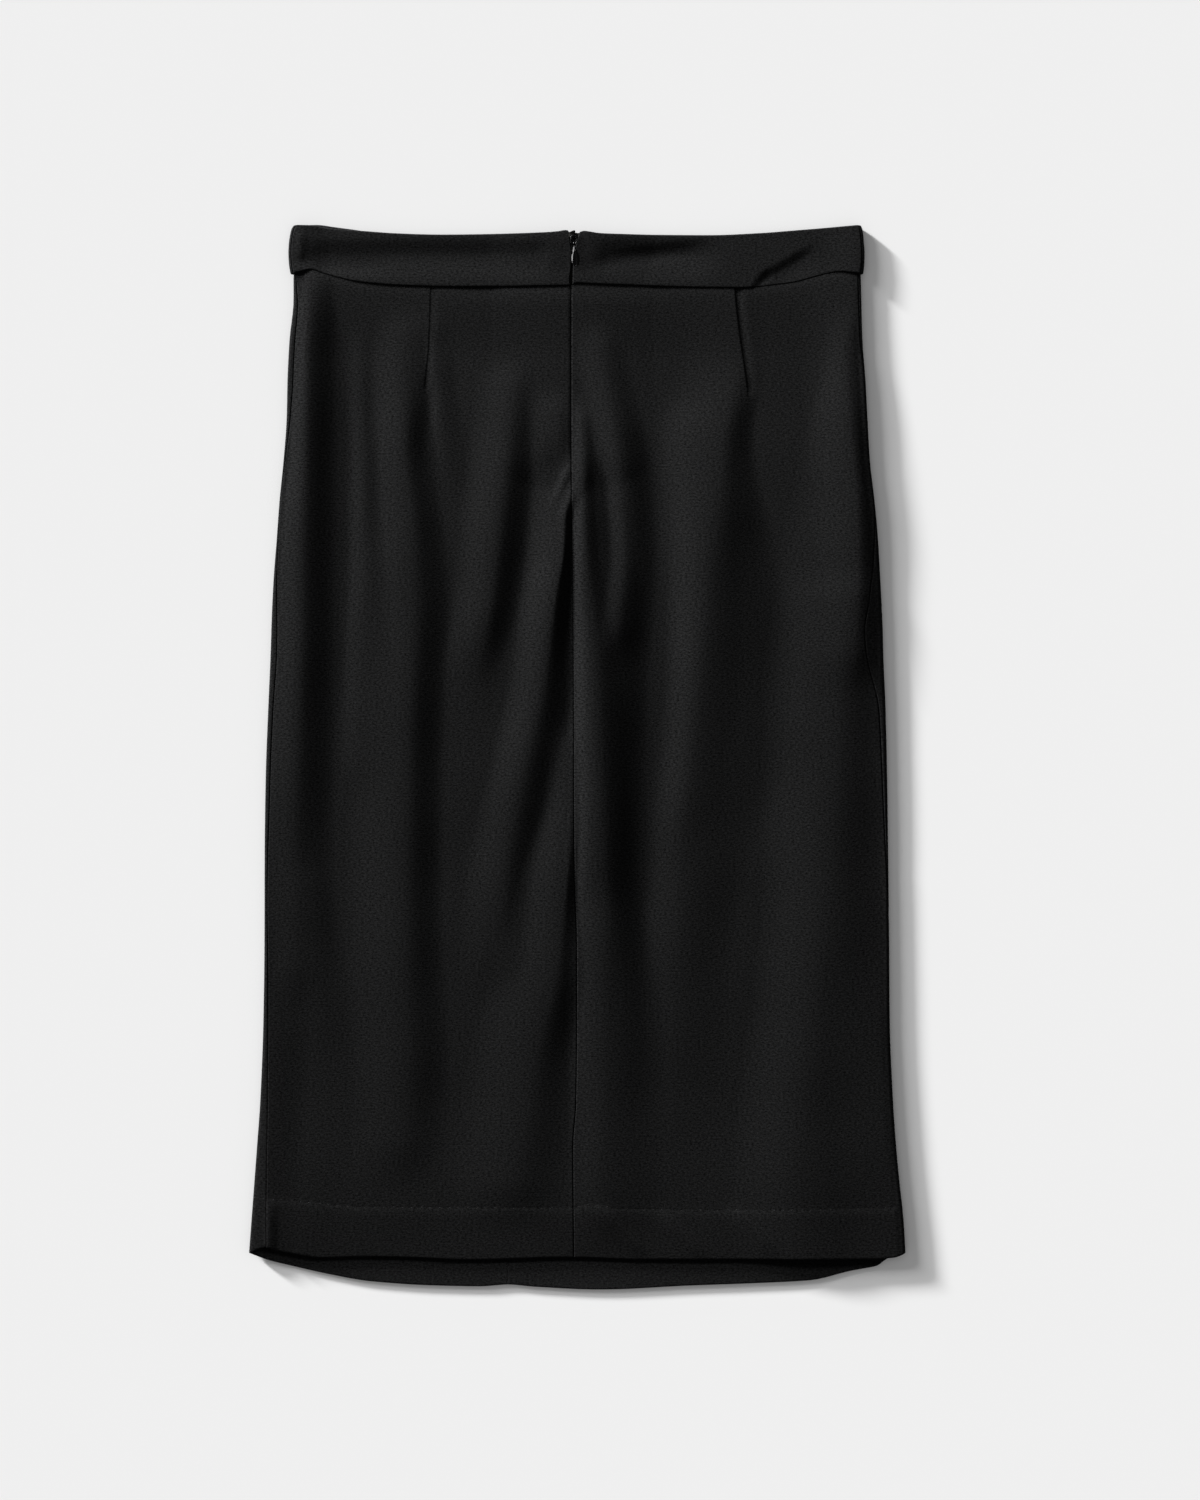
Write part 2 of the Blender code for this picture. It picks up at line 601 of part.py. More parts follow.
def add_rod(name: str, radius: float, length: float, sides: int) -> bpy.types.Object:
    """A cylinder about the X axis, in millimetres."""
    mesh = bpy.data.meshes.new(name)
    rod = bmesh.new()
    bmesh.ops.create_cone(rod, cap_ends=True, segments=sides, radius1=radius * MM,
                          radius2=radius * MM, depth=length * MM,
                          matrix=Matrix.Rotation(pi / 2, 4, "Y"))
    rod.to_mesh(mesh)
    rod.free()
    return bpy.data.objects.new(name, mesh)


def curve_to_mesh(curve: bpy.types.Object, name: str) -> bpy.types.Object:
    """The curve's surface as a mesh object, with its caps welded."""
    parts_collection.objects.link(curve)
    evaluated = curve.evaluated_get(bpy.context.evaluated_depsgraph_get())
    mesh = bpy.data.meshes.new_from_object(evaluated)
    welded = bmesh.new()
    welded.from_mesh(mesh)
    bmesh.ops.remove_doubles(welded, verts=welded.verts, dist=0.001 * MM)
    bmesh.ops.recalc_face_normals(welded, faces=welded.faces)
    welded.to_mesh(mesh)
    welded.free()
    solid = bpy.data.objects.new(name, mesh)
    solid.matrix_world = curve.matrix_world
    bpy.data.objects.remove(curve)
    return solid


def combine(target: bpy.types.Object, other: bpy.types.Object, operation: str) -> None:
    """Add a Boolean of the other object, which goes with the cutters."""
    cutters_collection.objects.link(other)
    other.parent = target.parent
    other.hide_render = True
    other.display_type = "WIRE"
    boolean = target.modifiers.new(other.name, "BOOLEAN")
    boolean.operation = operation
    boolean.object = other


def teardrop() -> bpy.types.Object:
    """Flat teardrop hanging from the hinge, with rounded rims: narrow neck, full lower end."""
    edge = 0.25
    half = PULL_WIDTH / 2 - edge
    tip = PULL_LENGTH - edge
    neck = EYE_WIDTH / 2 - edge
    outline = ((-neck, -0.95, "VECTOR"), (-half, -0.68 * PULL_LENGTH, "AUTO"), (0.0, -tip, "AUTO"),
               (half, -0.68 * PULL_LENGTH, "AUTO"), (neck, -0.95, "VECTOR"))
    data = bpy.data.curves.new("teardrop", "CURVE")
    data.dimensions = "2D"
    data.fill_mode = "BOTH"
    data.extrude = (PULL_THICKNESS / 2 - edge) * MM
    data.bevel_depth = edge * MM
    data.bevel_resolution = 1
    spline = data.splines.new("BEZIER")
    spline.use_cyclic_u = True
    spline.resolution_u = 5
    spline.bezier_points.add(len(outline) - 1)
    for point, (across, along, handle) in zip(spline.bezier_points, outline):
        point.co = Vector((across, along, PULL_THICKNESS / 2 - EYE_RADIUS)) * MM
        point.handle_left_type = handle
        point.handle_right_type = handle
    return bpy.data.objects.new("teardrop", data)


def slider_loop() -> bpy.types.Object:
    """Wire loop with round corners; its lower side, on the hinge, carries the pull."""
    data = bpy.data.curves.new("slider_loop", "CURVE")
    data.dimensions = "3D"
    data.bevel_depth = BAR_RADIUS * MM
    data.bevel_resolution = 2
    corner_steps = 3
    points = []
    for quarter, (x_sign, y_sign) in enumerate(((1, 1), (-1, 1), (-1, -1), (1, -1))):
        centre = Vector((x_sign * (LOOP_WIDTH / 2 - LOOP_CORNER),
                         LOOP_LENGTH / 2 + y_sign * (LOOP_LENGTH / 2 - LOOP_CORNER), 0.0))
        for step in range(corner_steps + 1):
            angle = (quarter + step / corner_steps) * pi / 2
            points.append((centre + LOOP_CORNER * Vector((cos(angle), sin(angle), 0.0))) * MM)
    spline = data.splines.new("POLY")
    spline.use_cyclic_u = True
    spline.points.add(len(points) - 1)
    for point, co in zip(spline.points, points):
        point.co = (*co, 1.0)
    return bpy.data.objects.new("slider_loop", data)


def make_slider_and_pull() -> None:
    """Slider plate under the waistband, its stem up through the zip's notch, loop and pull."""
    band_top = BAND.top(HINGE_ACROSS, HINGE_LEVEL)
    hinge_height = band_top + CLEARANCE + EYE_RADIUS
    hinge = bpy.data.objects.new("zip_pull_hinge", None)
    hinge.location = place(HINGE_ACROSS, HINGE_LEVEL, hinge_height)
    hinge.rotation_euler.z = radians(PULL_LEAN)
    parts_collection.objects.link(hinge)

    slider = curve_to_mesh(slider_loop(), "zip_slider")
    parts_collection.objects.link(slider)
    slider.parent = hinge
    plate_top = band_top - BAND_WALL - CLEARANCE - hinge_height
    stem_height = -plate_top + PLATE_THICKNESS / 2
    stem_along = LOOP_LENGTH - STEM_LENGTH / 2 + BAR_RADIUS / 2
    stem = add_box("slider_stem", (STEM_WIDTH, STEM_LENGTH, stem_height),
                   (0.0, stem_along, -stem_height / 2))
    plate = add_box("slider_plate", (PLATE_WIDTH, PLATE_LENGTH, PLATE_THICKNESS),
                    (0.0, PLATE_LENGTH / 2 - 0.6, plate_top - PLATE_THICKNESS / 2))
    combine(slider, stem, "UNION")
    combine(slider, plate, "UNION")
    slider.data.materials.append(black_metal)

    pull = curve_to_mesh(teardrop(), "zip_pull")
    parts_collection.objects.link(pull)
    pull.parent = hinge
    combine(pull, add_rod("pull_eye", EYE_RADIUS, EYE_WIDTH, 20), "UNION")
    combine(pull, add_rod("pull_bore", EYE_BORE, EYE_WIDTH * 2, 16), "DIFFERENCE")
    pull.data.materials.append(black_metal)
    for piece in (slider, pull):
        piece.data.shade_smooth()
        piece.data.set_sharp_from_angle(angle=radians(40))


# ---------------------------------------------------------------- materials and collections
def make_material(name: str, colour: tuple, roughness: float, metallic: float) -> bpy.types.Material:
    """A plain Principled material."""
    material = bpy.data.materials.new(name)
    material.use_nodes = True
    shader = material.node_tree.nodes["Principled BSDF"]
    shader.inputs["Base Color"].default_value = (*colour, 1.0)
    shader.inputs["Roughness"].default_value = roughness
    shader.inputs["Metallic"].default_value = metallic
    return material


for old in list(bpy.data.objects):
    bpy.data.objects.remove(old)

parts_collection = bpy.data.collections.new("pencil_skirt")
cutters_collection = bpy.data.collections.new("cutters")
for collection in (parts_collection, cutters_collection):
    bpy.context.scene.collection.children.link(collection)

crepe = make_material("black_crepe", (0.011, 0.011, 0.012), 0.85, 0.0)
tape_cloth = make_material("zip_tape_cloth", (0.014, 0.014, 0.015), 0.8, 0.0)
black_metal = make_material("black_metal", (0.012, 0.012, 0.013), 0.25, 0.6)

make_panels()
make_waistband()
make_tape()
make_slider_and_pull()
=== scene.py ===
"""Looks of a black pencil skirt that lies flat on its front, its back upwards.

The skirt is a tube of crepe pressed flat: the back panels are its upper layer, the front panels its
lower one, and the cloth rolls over from one to the other along both sides. Each piece of cloth is a
thin closed shell on a grid of two parameters: a column, which is a share of the way round the tube
from the side seam to the piece's inner end, and a row, from its lower edge to its upper one.

Frame: metres, +Z up, +Y towards the waist, -X towards the wearer's left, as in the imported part.
Sizes here are millimetres. A level is the distance below the highest point of the waistband, and
across is the distance from the middle of the laid skirt. MM turns millimetres into metres.
"""
import json
import logging
from dataclasses import dataclass, field
from enum import Enum
from math import cos, pi, radians, sin
from typing import Callable, Iterable, NamedTuple, Sequence

import bpy
import numpy as np
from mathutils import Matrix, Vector


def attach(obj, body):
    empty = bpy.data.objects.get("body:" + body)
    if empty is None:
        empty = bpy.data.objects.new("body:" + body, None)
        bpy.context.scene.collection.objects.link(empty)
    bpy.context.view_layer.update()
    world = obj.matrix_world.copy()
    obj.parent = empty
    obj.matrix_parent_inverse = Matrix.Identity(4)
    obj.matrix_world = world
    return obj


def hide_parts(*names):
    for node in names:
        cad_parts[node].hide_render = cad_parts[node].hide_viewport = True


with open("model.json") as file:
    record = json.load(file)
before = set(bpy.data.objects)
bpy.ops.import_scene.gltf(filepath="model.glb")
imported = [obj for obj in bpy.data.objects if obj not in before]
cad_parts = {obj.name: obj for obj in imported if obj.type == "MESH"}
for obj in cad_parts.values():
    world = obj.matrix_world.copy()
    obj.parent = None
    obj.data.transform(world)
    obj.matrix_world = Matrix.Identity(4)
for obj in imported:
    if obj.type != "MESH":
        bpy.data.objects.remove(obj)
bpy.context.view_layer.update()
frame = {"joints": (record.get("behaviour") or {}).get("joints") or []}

LOG = logging.getLogger("pencil_skirt")

Array = np.ndarray
Curve = Callable[[Array], Array]
Body = tuple[Array, list[Array]]    # points, and blocks of faces with as many corners as each other
Colour = tuple[float, float, float]
Point = tuple[float, float, float]
Piece = bpy.types.Object
Socket = bpy.types.NodeSocket

MM = 0.001
UPWARDS = np.array([0.0, 0.0, 1.0])
SKIRT_BODY = "skirt"
PULL_BODY = "pull"
HINGE = np.array(frame["joints"][0]["pos_m"])    # where the pull turns, in metres

# ---------------- sizes of the cloth, millimetres
LAID_LENGTH = 723.6          # highest point of the waistband to the lowest point of the front hem
WALL = 1.2                   # one layer of the crepe with its seam allowances
HEM_WALL = 1.8               # the crepe and its turned-up hem
HEM_DEPTH = 34.0             # width of the turned-up hem
BAND_WALL = 1.8              # room that the folded waistband with its interfacing takes
BAND_CLOTH = 1.5             # its cloth alone
BAND_ROOM = 1.0              # space between its layers at its upper and lower edges
BAND_HOLLOW = 1.15           # depth of the hollow along its middle
SEAM_GAP = 0.06              # between two pieces at a seam
LAYER_ROOM = 0.7             # space between the two layers where nothing lifts the upper one
SKIRT_ROLL_RADIUS = 2.3      # outside of the rolled side edges
BAND_ROLL_RADIUS = 2.8
LIFT_WIDTH = 30.0            # the lower layer comes down to the surface within this width
LEFT_SETTLE = 30.0           # the upper layer comes down from the left roll within this width
RIGHT_SETTLE = 42.0
BAND_SETTLE = 26.0
WAIST_SETTLE = 50.0          # the panels come down from the thicker waistband within this length
WAIST_LEVEL = 42.0           # level of the seam under the waistband at the zip
FRONT_SEAM = -47.5           # place of the front panels' seam
BAND_SEAM_INSET = 1.9        # side seams of the waistband, in from the rolled edges
STITCH_PITCH = 6.3           # of the blind stitches along the hem
ZIP_CENTRE = -3.4            # place of the zip's middle
ZIP_CLEARANCE = 0.35         # between the zip's parts and the cloth
SLIDER_PLATE = (6.4, 8.6, 0.8)    # width, length and thickness
PULL_LEAN = 4.5              # degrees that the hanging pull leans to the right
EYE_RADIUS = 1.25            # outside of the eye at the pull's neck
EYE_BORE = 0.8               # radius of its hole
EYE_WIDTH = 1.4              # its width along the hinge
FOLD_EDGE_FADE = 7.0         # a fold grows from nothing within this width beside a rolled edge
FOLD_START_FADE = 25.0       # and within this length below its upper end
FOLD_END_FADE = 40.0         # and dies away within this length above its lower end
MOST_LIFT = 12.0             # no fold lifts the cloth higher than this above its rest
CREASE_TAPER = 0.35          # share of a crease's length in which either end tapers


class Side(Enum):
    """Side of the skirt, seen from above."""
    LEFT = -1
    RIGHT = 1


class Layer(Enum):
    """Layer of the flattened tube: its value is the sign of a distance round the roll."""
    BACK = 1
    FRONT = -1


# ---------------- tables, millimetres
class Sides(NamedTuple):
    """A value on the left and one on the right, at one level."""
    level: float
    left: float
    right: float


class Brim(NamedTuple):
    """Level of an edge or seam at one place across the skirt."""
    across: float
    level: float


class Line(NamedTuple):
    """Place across the skirt at one level."""
    level: float
    across: float


class Room(NamedTuple):
    """Space between the layers that the zip takes up at one level."""
    level: float
    room: float


class Fold(NamedTuple):
    """A long soft ridge: its crest, its height and its flanks' widths at even steps downwards."""
    name: str
    start: float
    end: float
    crest: tuple[float, ...]
    height: tuple[float, ...]
    rise: tuple[float, ...]
    fall: tuple[float, ...]


class Crease(NamedTuple):
    """A short ridge, or a trough of negative height, along a straight line of any direction.

    The near flank lies on the left hand and the far flank on the right hand of someone who looks
    along the line from its start to its end with the waist upwards.
    """
    name: str
    start: Brim
    end: Brim
    height: float
    near: float
    far: float


class Groove(NamedTuple):
    """A sewn line down the cloth: its depth, its width to the left and right, and its end's fade."""
    name: str
    line: tuple[Line, ...]
    depth: float
    near: float
    far: float
    fade: float


class Wave(NamedTuple):
    """A faint wave: its height, the lengths that divide across and level, and its phase."""
    height: float
    across: float
    level: float
    phase: float


# Left and right ends of the outline.
SKIRT_EDGES = (
    Sides(33.0, -192.8, 192.5), Sides(51.0, -192.7, 192.9), Sides(78.0, -195.4, 193.6),
    Sides(105.0, -196.8, 195.6), Sides(132.0, -197.4, 197.0), Sides(160.0, -199.5, 198.6),
    Sides(187.0, -202.2, 201.7), Sides(214.0, -204.2, 204.2), Sides(241.0, -206.3, 205.8),
    Sides(268.0, -207.6, 207.2), Sides(296.0, -208.5, 208.0), Sides(323.0, -209.7, 209.2),
    Sides(377.0, -211.7, 210.5), Sides(432.0, -212.4, 211.2), Sides(486.0, -212.5, 211.8),
    Sides(540.0, -213.2, 212.2), Sides(595.0, -215.3, 214.4), Sides(622.0, -217.2, 216.2),
    Sides(649.0, -219.2, 218.7), Sides(677.0, -221.3, 221.6), Sides(699.0, -222.9, 222.9),
)
BAND_EDGES = (
    Sides(0.5, -192.4, 192.4), Sides(3.2, -194.1, 193.6), Sides(7.3, -195.1, 194.2),
    Sides(12.0, -195.8, 194.6), Sides(19.0, -196.2, 195.1), Sides(27.0, -195.8, 194.9),
    Sides(33.5, -194.8, 194.2),
)
BACK_BAND_TOP = (
    Brim(-192.4, 0.5), Brim(-178.0, 0.9), Brim(-170.0, 2.5), Brim(-164.0, 3.2),
    Brim(-154.6, 3.9), Brim(-141.0, 4.9), Brim(-124.0, 6.1), Brim(-93.0, 7.0),
    Brim(-46.0, 6.35), Brim(-20.0, 5.5), Brim(-13.0, 4.9), Brim(-8.0, 4.2), Brim(-6.0, 4.5),
    Brim(-3.6, 5.6), Brim(0.8, 5.6), Brim(4.5, 4.7), Brim(8.0, 5.1), Brim(15.5, 6.2),
    Brim(26.0, 6.6), Brim(56.0, 7.2), Brim(90.0, 7.4), Brim(124.0, 6.0), Brim(145.0, 4.4),
    Brim(172.0, 2.2), Brim(192.4, 0.5),
)
FRONT_BAND_TOP = (
    Brim(-192.4, 0.5), Brim(-177.0, 0.0), Brim(-165.0, 1.5), Brim(-150.0, 3.5),
    Brim(-124.0, 7.5), Brim(0.0, 10.0), Brim(150.0, 7.5), Brim(172.0, 3.0),
    Brim(192.4, 0.5),
)
BACK_WAIST_SEAM = (
    Brim(-193.4, 33.9), Brim(-187.2, 32.5), Brim(-181.0, 31.1), Brim(-173.0, 33.4),
    Brim(-164.0, 35.9), Brim(-152.6, 38.6), Brim(-142.4, 40.0), Brim(-121.3, 41.7),
    Brim(-80.0, 42.7), Brim(-22.0, 42.2), Brim(-4.3, 41.8), Brim(-1.5, 40.4),
    Brim(19.0, 41.2), Brim(110.6, 43.4), Brim(137.8, 40.9), Brim(147.3, 39.6),
    Brim(158.9, 36.6), Brim(169.1, 33.9), Brim(178.6, 32.5), Brim(193.0, 33.9),
)
FRONT_WAIST_SEAM = (
    Brim(-193.4, 33.9), Brim(-150.0, 40.5), Brim(0.0, 46.0), Brim(150.0, 40.5),
    Brim(193.0, 33.9),
)
BACK_HEM = (
    Brim(-222.9, 698.6), Brim(-217.2, 695.8), Brim(-211.7, 694.3), Brim(-202.2, 696.9),
    Brim(-188.6, 699.6), Brim(-173.6, 701.6), Brim(-145.0, 700.9), Brim(-115.0, 701.4),
    Brim(-73.0, 703.0), Brim(-6.4, 701.3), Brim(42.6, 702.8), Brim(199.0, 702.3),
    Brim(214.6, 701.4), Brim(222.9, 698.6),
)
FRONT_HEM = (
    Brim(-222.9, 698.6), Brim(-209.0, 703.7), Brim(-195.4, 707.1), Brim(-168.2, 713.2),
    Brim(-141.0, 717.9), Brim(-100.0, 720.7), Brim(-66.0, 721.4), Brim(-47.0, 720.2),
    Brim(-29.0, 721.7), Brim(15.4, 723.6), Brim(76.6, 720.9), Brim(117.4, 719.4),
    Brim(158.2, 717.3), Brim(185.4, 711.0), Brim(194.5, 709.3), Brim(203.5, 707.4),
    Brim(209.5, 703.2), Brim(214.5, 700.6), Brim(222.9, 698.6),
)
# How far the side seams lie in from the rolled edges: positive on the back, negative below.
SIDE_SEAMS = (
    Sides(34.0, 1.8, 2.0), Sides(78.0, 4.0, 1.6), Sides(105.0, 4.0, 0.3), Sides(132.0, 2.7, 0.3),
    Sides(160.0, 1.2, 0.3), Sides(190.0, 0.3, 0.6), Sides(228.0, 1.8, 4.1), Sides(254.0, 3.2, 8.4),
    Sides(277.0, 4.2, 12.6), Sides(291.0, 4.4, 11.8), Sides(330.0, 3.6, 4.6), Sides(391.0, 3.2, 3.0),
    Sides(459.0, 2.0, 0.5), Sides(500.0, 2.7, -1.5), Sides(568.0, 4.1, -3.5), Sides(636.0, 7.5, -5.0),
    Sides(699.0, 12.0, -6.0),
)
# Height of the middle of the rolled edges above the surface.
SKIRT_ROLLS = (
    Sides(34.0, 2.8, 2.7), Sides(78.0, 2.9, 3.0), Sides(132.0, 2.8, 3.8), Sides(187.0, 2.5, 3.8),
    Sides(241.0, 2.4, 2.9), Sides(296.0, 2.4, 2.6), Sides(350.0, 2.4, 2.3), Sides(404.0, 2.4, 2.3),
    Sides(473.0, 2.4, 2.4), Sides(540.0, 2.6, 2.6), Sides(609.0, 3.0, 2.9), Sides(663.0, 3.3, 3.1),
    Sides(699.0, 3.6, 3.3),
)
BAND_ROLLS = (Sides(0.0, 2.8, 2.8), Sides(18.0, 3.0, 3.0), Sides(34.0, 2.9, 2.9))
CENTRE_BACK = (
    Line(41.0, -4.0), Line(156.0, -4.0), Line(255.0, -3.0), Line(323.0, -2.5), Line(438.0, -1.9),
    Line(493.0, -0.2), Line(535.0, -0.2), Line(596.0, -0.9), Line(626.0, -2.9), Line(702.0, -2.3),
)
BAND_LEFT_END = (
    Line(4.6, -6.2), Line(8.7, -5.2), Line(14.0, -4.4), Line(21.0, -3.8), Line(28.0, -4.0),
    Line(33.0, -4.6), Line(37.5, -5.2), Line(42.0, -4.6),
)
BAND_RIGHT_END = (
    Line(5.2, 1.7), Line(10.0, 0.3), Line(15.0, -1.2), Line(21.0, -2.6), Line(28.0, -3.0),
    Line(41.0, -3.2),
)
ZIP_ROOMS = (
    Room(0.0, 2.6), Room(20.0, 2.6), Room(34.0, 2.0), Room(60.0, 1.8), Room(155.0, 1.8),
    Room(190.0, 0.0),
)
HEM_LINE = (
    Brim(-222.0, 661.0), Brim(-207.6, 661.5), Brim(-145.1, 667.0), Brim(-52.6, 667.6),
    Brim(-2.3, 667.6), Brim(6.0, 665.4), Brim(15.4, 666.0), Brim(30.0, 668.4), Brim(75.0, 669.2),
    Brim(128.3, 669.0), Brim(205.8, 667.6), Brim(222.0, 666.0),
)
FOLDS = (
    Fold("left side", 20.0, 540.0, (-179, -182, -183, -185, -186, -188, -189, -188, -190),
         (0.0, 4.2, 5.5, 5.7, 5.6, 4.7, 3.1, 1.7, 0.8), (11, 12, 15, 20, 22, 23, 23, 22, 20),
         (14, 20, 21, 22, 22, 23, 25, 26, 26)),
    Fold("left dart", 50.0, 660.0,
         (-114, -119, -117, -112, -111, -113, -115, -116, -117, -117, -115, -117, -120),
         (0.0, 2.4, 4.6, 4.6, 4.3, 4.5, 4.4, 4.3, 4.1, 3.7, 3.1, 2.2, 1.2),
         (22, 24, 26, 33, 39, 40, 40, 42, 42, 42, 40, 38, 36),
         (34, 26, 16, 21, 26, 24, 24, 25, 26, 28, 30, 30, 32)),
    Fold("right of the left dart", 50.0, 200.0, (-98, -97, -95, -93, -89, -85, -80),
         (0.0, 0.4, 1.3, 1.4, 0.8, 0.3, 0.0), (8, 8, 9, 9, 10, 10, 10),
         (16, 14, 14, 15, 16, 16, 16)),
    Fold("left small", 60.0, 400.0, (-147, -146, -144, -144, -146, -148, -148),
         (0.0, 0.8, 1.7, 1.9, 1.6, 1.2, 0.4), (10, 12, 13, 13, 14, 14, 14),
         (9, 10, 11, 15, 22, 26, 28)),
    Fold("left seat", 85.0, 430.0, (-44, -47, -53, -59, -69, -74, -78),
         (0.0, 2.9, 4.1, 3.6, 0.5, 0.1, 0.0), (24, 27, 28, 27, 26, 26, 26),
         (16, 19, 21, 18, 18, 20, 20)),
    Fold("above the zip end", 105.0, 178.0, (-14, -14, -13, -13), (0.0, 1.5, 2.1, 0.0),
         (22, 22, 22, 22), (13, 13, 11, 11)),
    Fold("zip end", 150.0, 534.0,
         (-8, -8, -9, -9.5, -13, -17, -20.3, -24, -29.3, -34.8, -40, -45, -49, -50.5, -52, -53, -54),
         (0.0, 1.4, 3.8, 5.6, 6.2, 5.7, 5.0, 4.4, 3.9, 3.5, 3.1, 2.8, 2.7, 2.3, 1.7, 1.0, 0.3),
         (24, 26, 27, 27, 27, 26, 25, 25, 25, 25, 26, 27, 28, 29, 30, 30, 30),
         (24, 20, 7, 5.5, 8, 12.5, 16.5, 20.5, 23, 24, 24, 22, 21, 20, 20, 20, 20)),
    Fold("beside the seam", 110.0, 470.0, (1, 4.5, 4.5, 6.5, 8.0, 8.0, 7),
         (0.0, 1.7, 2.8, 3.0, 2.5, 2.0, 0.9), (7, 9, 10, 10.5, 11, 11, 11),
         (8, 8, 12, 22, 28, 30, 28)),
    Fold("centre back", 110.0, 705.0, (3, 6, 15, 17.5, 20, 22, 19, 16),
         (0.0, 3.8, 5.6, 6.2, 5.8, 4.0, 2.3, 0.7), (20, 22, 25, 24, 30, 30, 26, 22),
         (10, 30, 34, 29, 24, 38, 42, 44)),
    Fold("right seat", 60.0, 310.0, (12, 18, 26.5, 31.5, 34, 31, 27),
         (0.0, 2.2, 4.0, 4.1, 3.3, 2.2, 0.0), (20, 19, 17, 14, 14, 16, 18),
         (16, 19, 22, 22, 22, 22, 18)),
    Fold("right dart", 36.0, 640.0, (108, 108, 99, 96, 91, 86, 80, 73, 71, 70, 68, 64),
         (0.0, 0.8, 3.8, 5.8, 5.0, 3.8, 3.0, 2.5, 2.1, 1.1, 0.6, 0.2),
         (38, 42, 46, 36, 31, 28, 28, 28, 28, 28, 28, 28),
         (20, 20, 22, 36, 54, 62, 62, 50, 38, 34, 36, 36)),
    Fold("beside the right dart", 110.0, 430.0, (72, 76, 79, 80, 78, 74, 70),
         (0.0, 1.5, 1.9, 1.5, 1.1, 0.8, 0.2), (18, 22, 24, 21, 18, 16, 14),
         (30, 34, 34, 34, 34, 30, 30)),
    Fold("right hip", 50.0, 330.0, (184, 182, 185, 189, 190, 188, 184),
         (0.0, 1.3, 2.4, 2.9, 3.1, 2.2, 0.0), (14, 18, 32, 46, 54, 56, 56),
         (10, 12, 13, 14, 16, 20, 22)),
    Fold("right side", 230.0, 740.0, (184, 176, 172, 168, 159, 152, 160),
         (0.6, 3.6, 4.4, 4.7, 4.4, 3.2, 1.9), (50, 50, 48, 46, 48, 50, 50),
         (24, 32, 36, 44, 58, 70, 66)),
    Fold("left hem", 425.0, 715.0, (-184, -178, -175, -175, -177, -184, -190),
         (0.0, 0.8, 0.9, 0.4, 0.2, 0.3, 0.4), (18, 28, 34, 40, 44, 40, 34),
         (16, 18, 22, 25, 27, 26, 26)),
    Fold("beside centre back", 330.0, 690.0, (-4, -5, -8, -15, -29, -38, -50),
         (0.0, 2.0, 3.7, 4.0, 3.1, 2.4, 0.9), (16, 19, 35, 46, 48, 46, 44),
         (10, 9, 9, 22, 28, 34, 40)),
)
PANEL_CREASES = (
    Crease("zip pucker", Brim(-2.0, 158.0), Brim(-18.0, 194.0), 0.7, 4.0, 4.0),
    Crease("second pucker", Brim(-0.5, 174.0), Brim(-11.0, 206.0), 0.5, 3.5, 3.5),
    Crease("hem drag", Brim(10.0, 662.0), Brim(50.0, 706.0), 0.8, 8.0, 9.0),
    Crease("middle hem drag", Brim(52.0, 666.0), Brim(92.0, 708.0), 0.65, 8.0, 10.0),
    Crease("right hem drag", Brim(100.0, 662.0), Brim(138.0, 704.0), 0.7, 9.0, 12.0),
    Crease("left hem end", Brim(-209.0, 708.0), Brim(-209.0, 658.0), 0.7, 5.0, 7.0),
)
BAND_CREASES = (
    Crease("right pinch", Brim(119.0, 44.0), Brim(168.0, 15.0), -0.95, 7.5, 22.0),
    Crease("foot of the pinch", Brim(117.0, 49.0), Brim(133.0, 29.0), -0.5, 4.0, 6.0),
    Crease("left hollow", Brim(-192.0, 27.0), Brim(-122.0, 30.0), -0.35, 12.0, 9.0),
    Crease("lower left corner", Brim(-201.0, 32.0), Brim(-173.0, 33.0), 0.7, 9.0, 3.0),
    Crease("right hollow", Brim(-6.0, 29.0), Brim(98.0, 14.0), -0.5, 8.0, 9.0),
    Crease("left corner", Brim(-188.0, 28.0), Brim(-188.0, 1.0), 0.5, 5.0, 6.0),
)
DARTS = (
    Groove("left dart", (Line(41.0, -99.4), Line(78.0, -100.5), Line(104.6, -102.9),
                         Line(116.0, -104.3)), 0.30, 0.7, 5.6, 9.0),
    Groove("right dart", (Line(41.0, 107.0), Line(67.9, 109.9), Line(99.1, 114.3),
                          Line(118.0, 116.9)), 0.70, 0.9, 7.2, 9.0),
)
RIPPLES = (
    Wave(0.10, 31.0, 47.0, 0.4), Wave(0.07, 14.3, -39.0, 1.9), Wave(0.05, 21.7, 13.1, 0.7),
    Wave(0.03, 7.9, -11.3, 0.0),
)


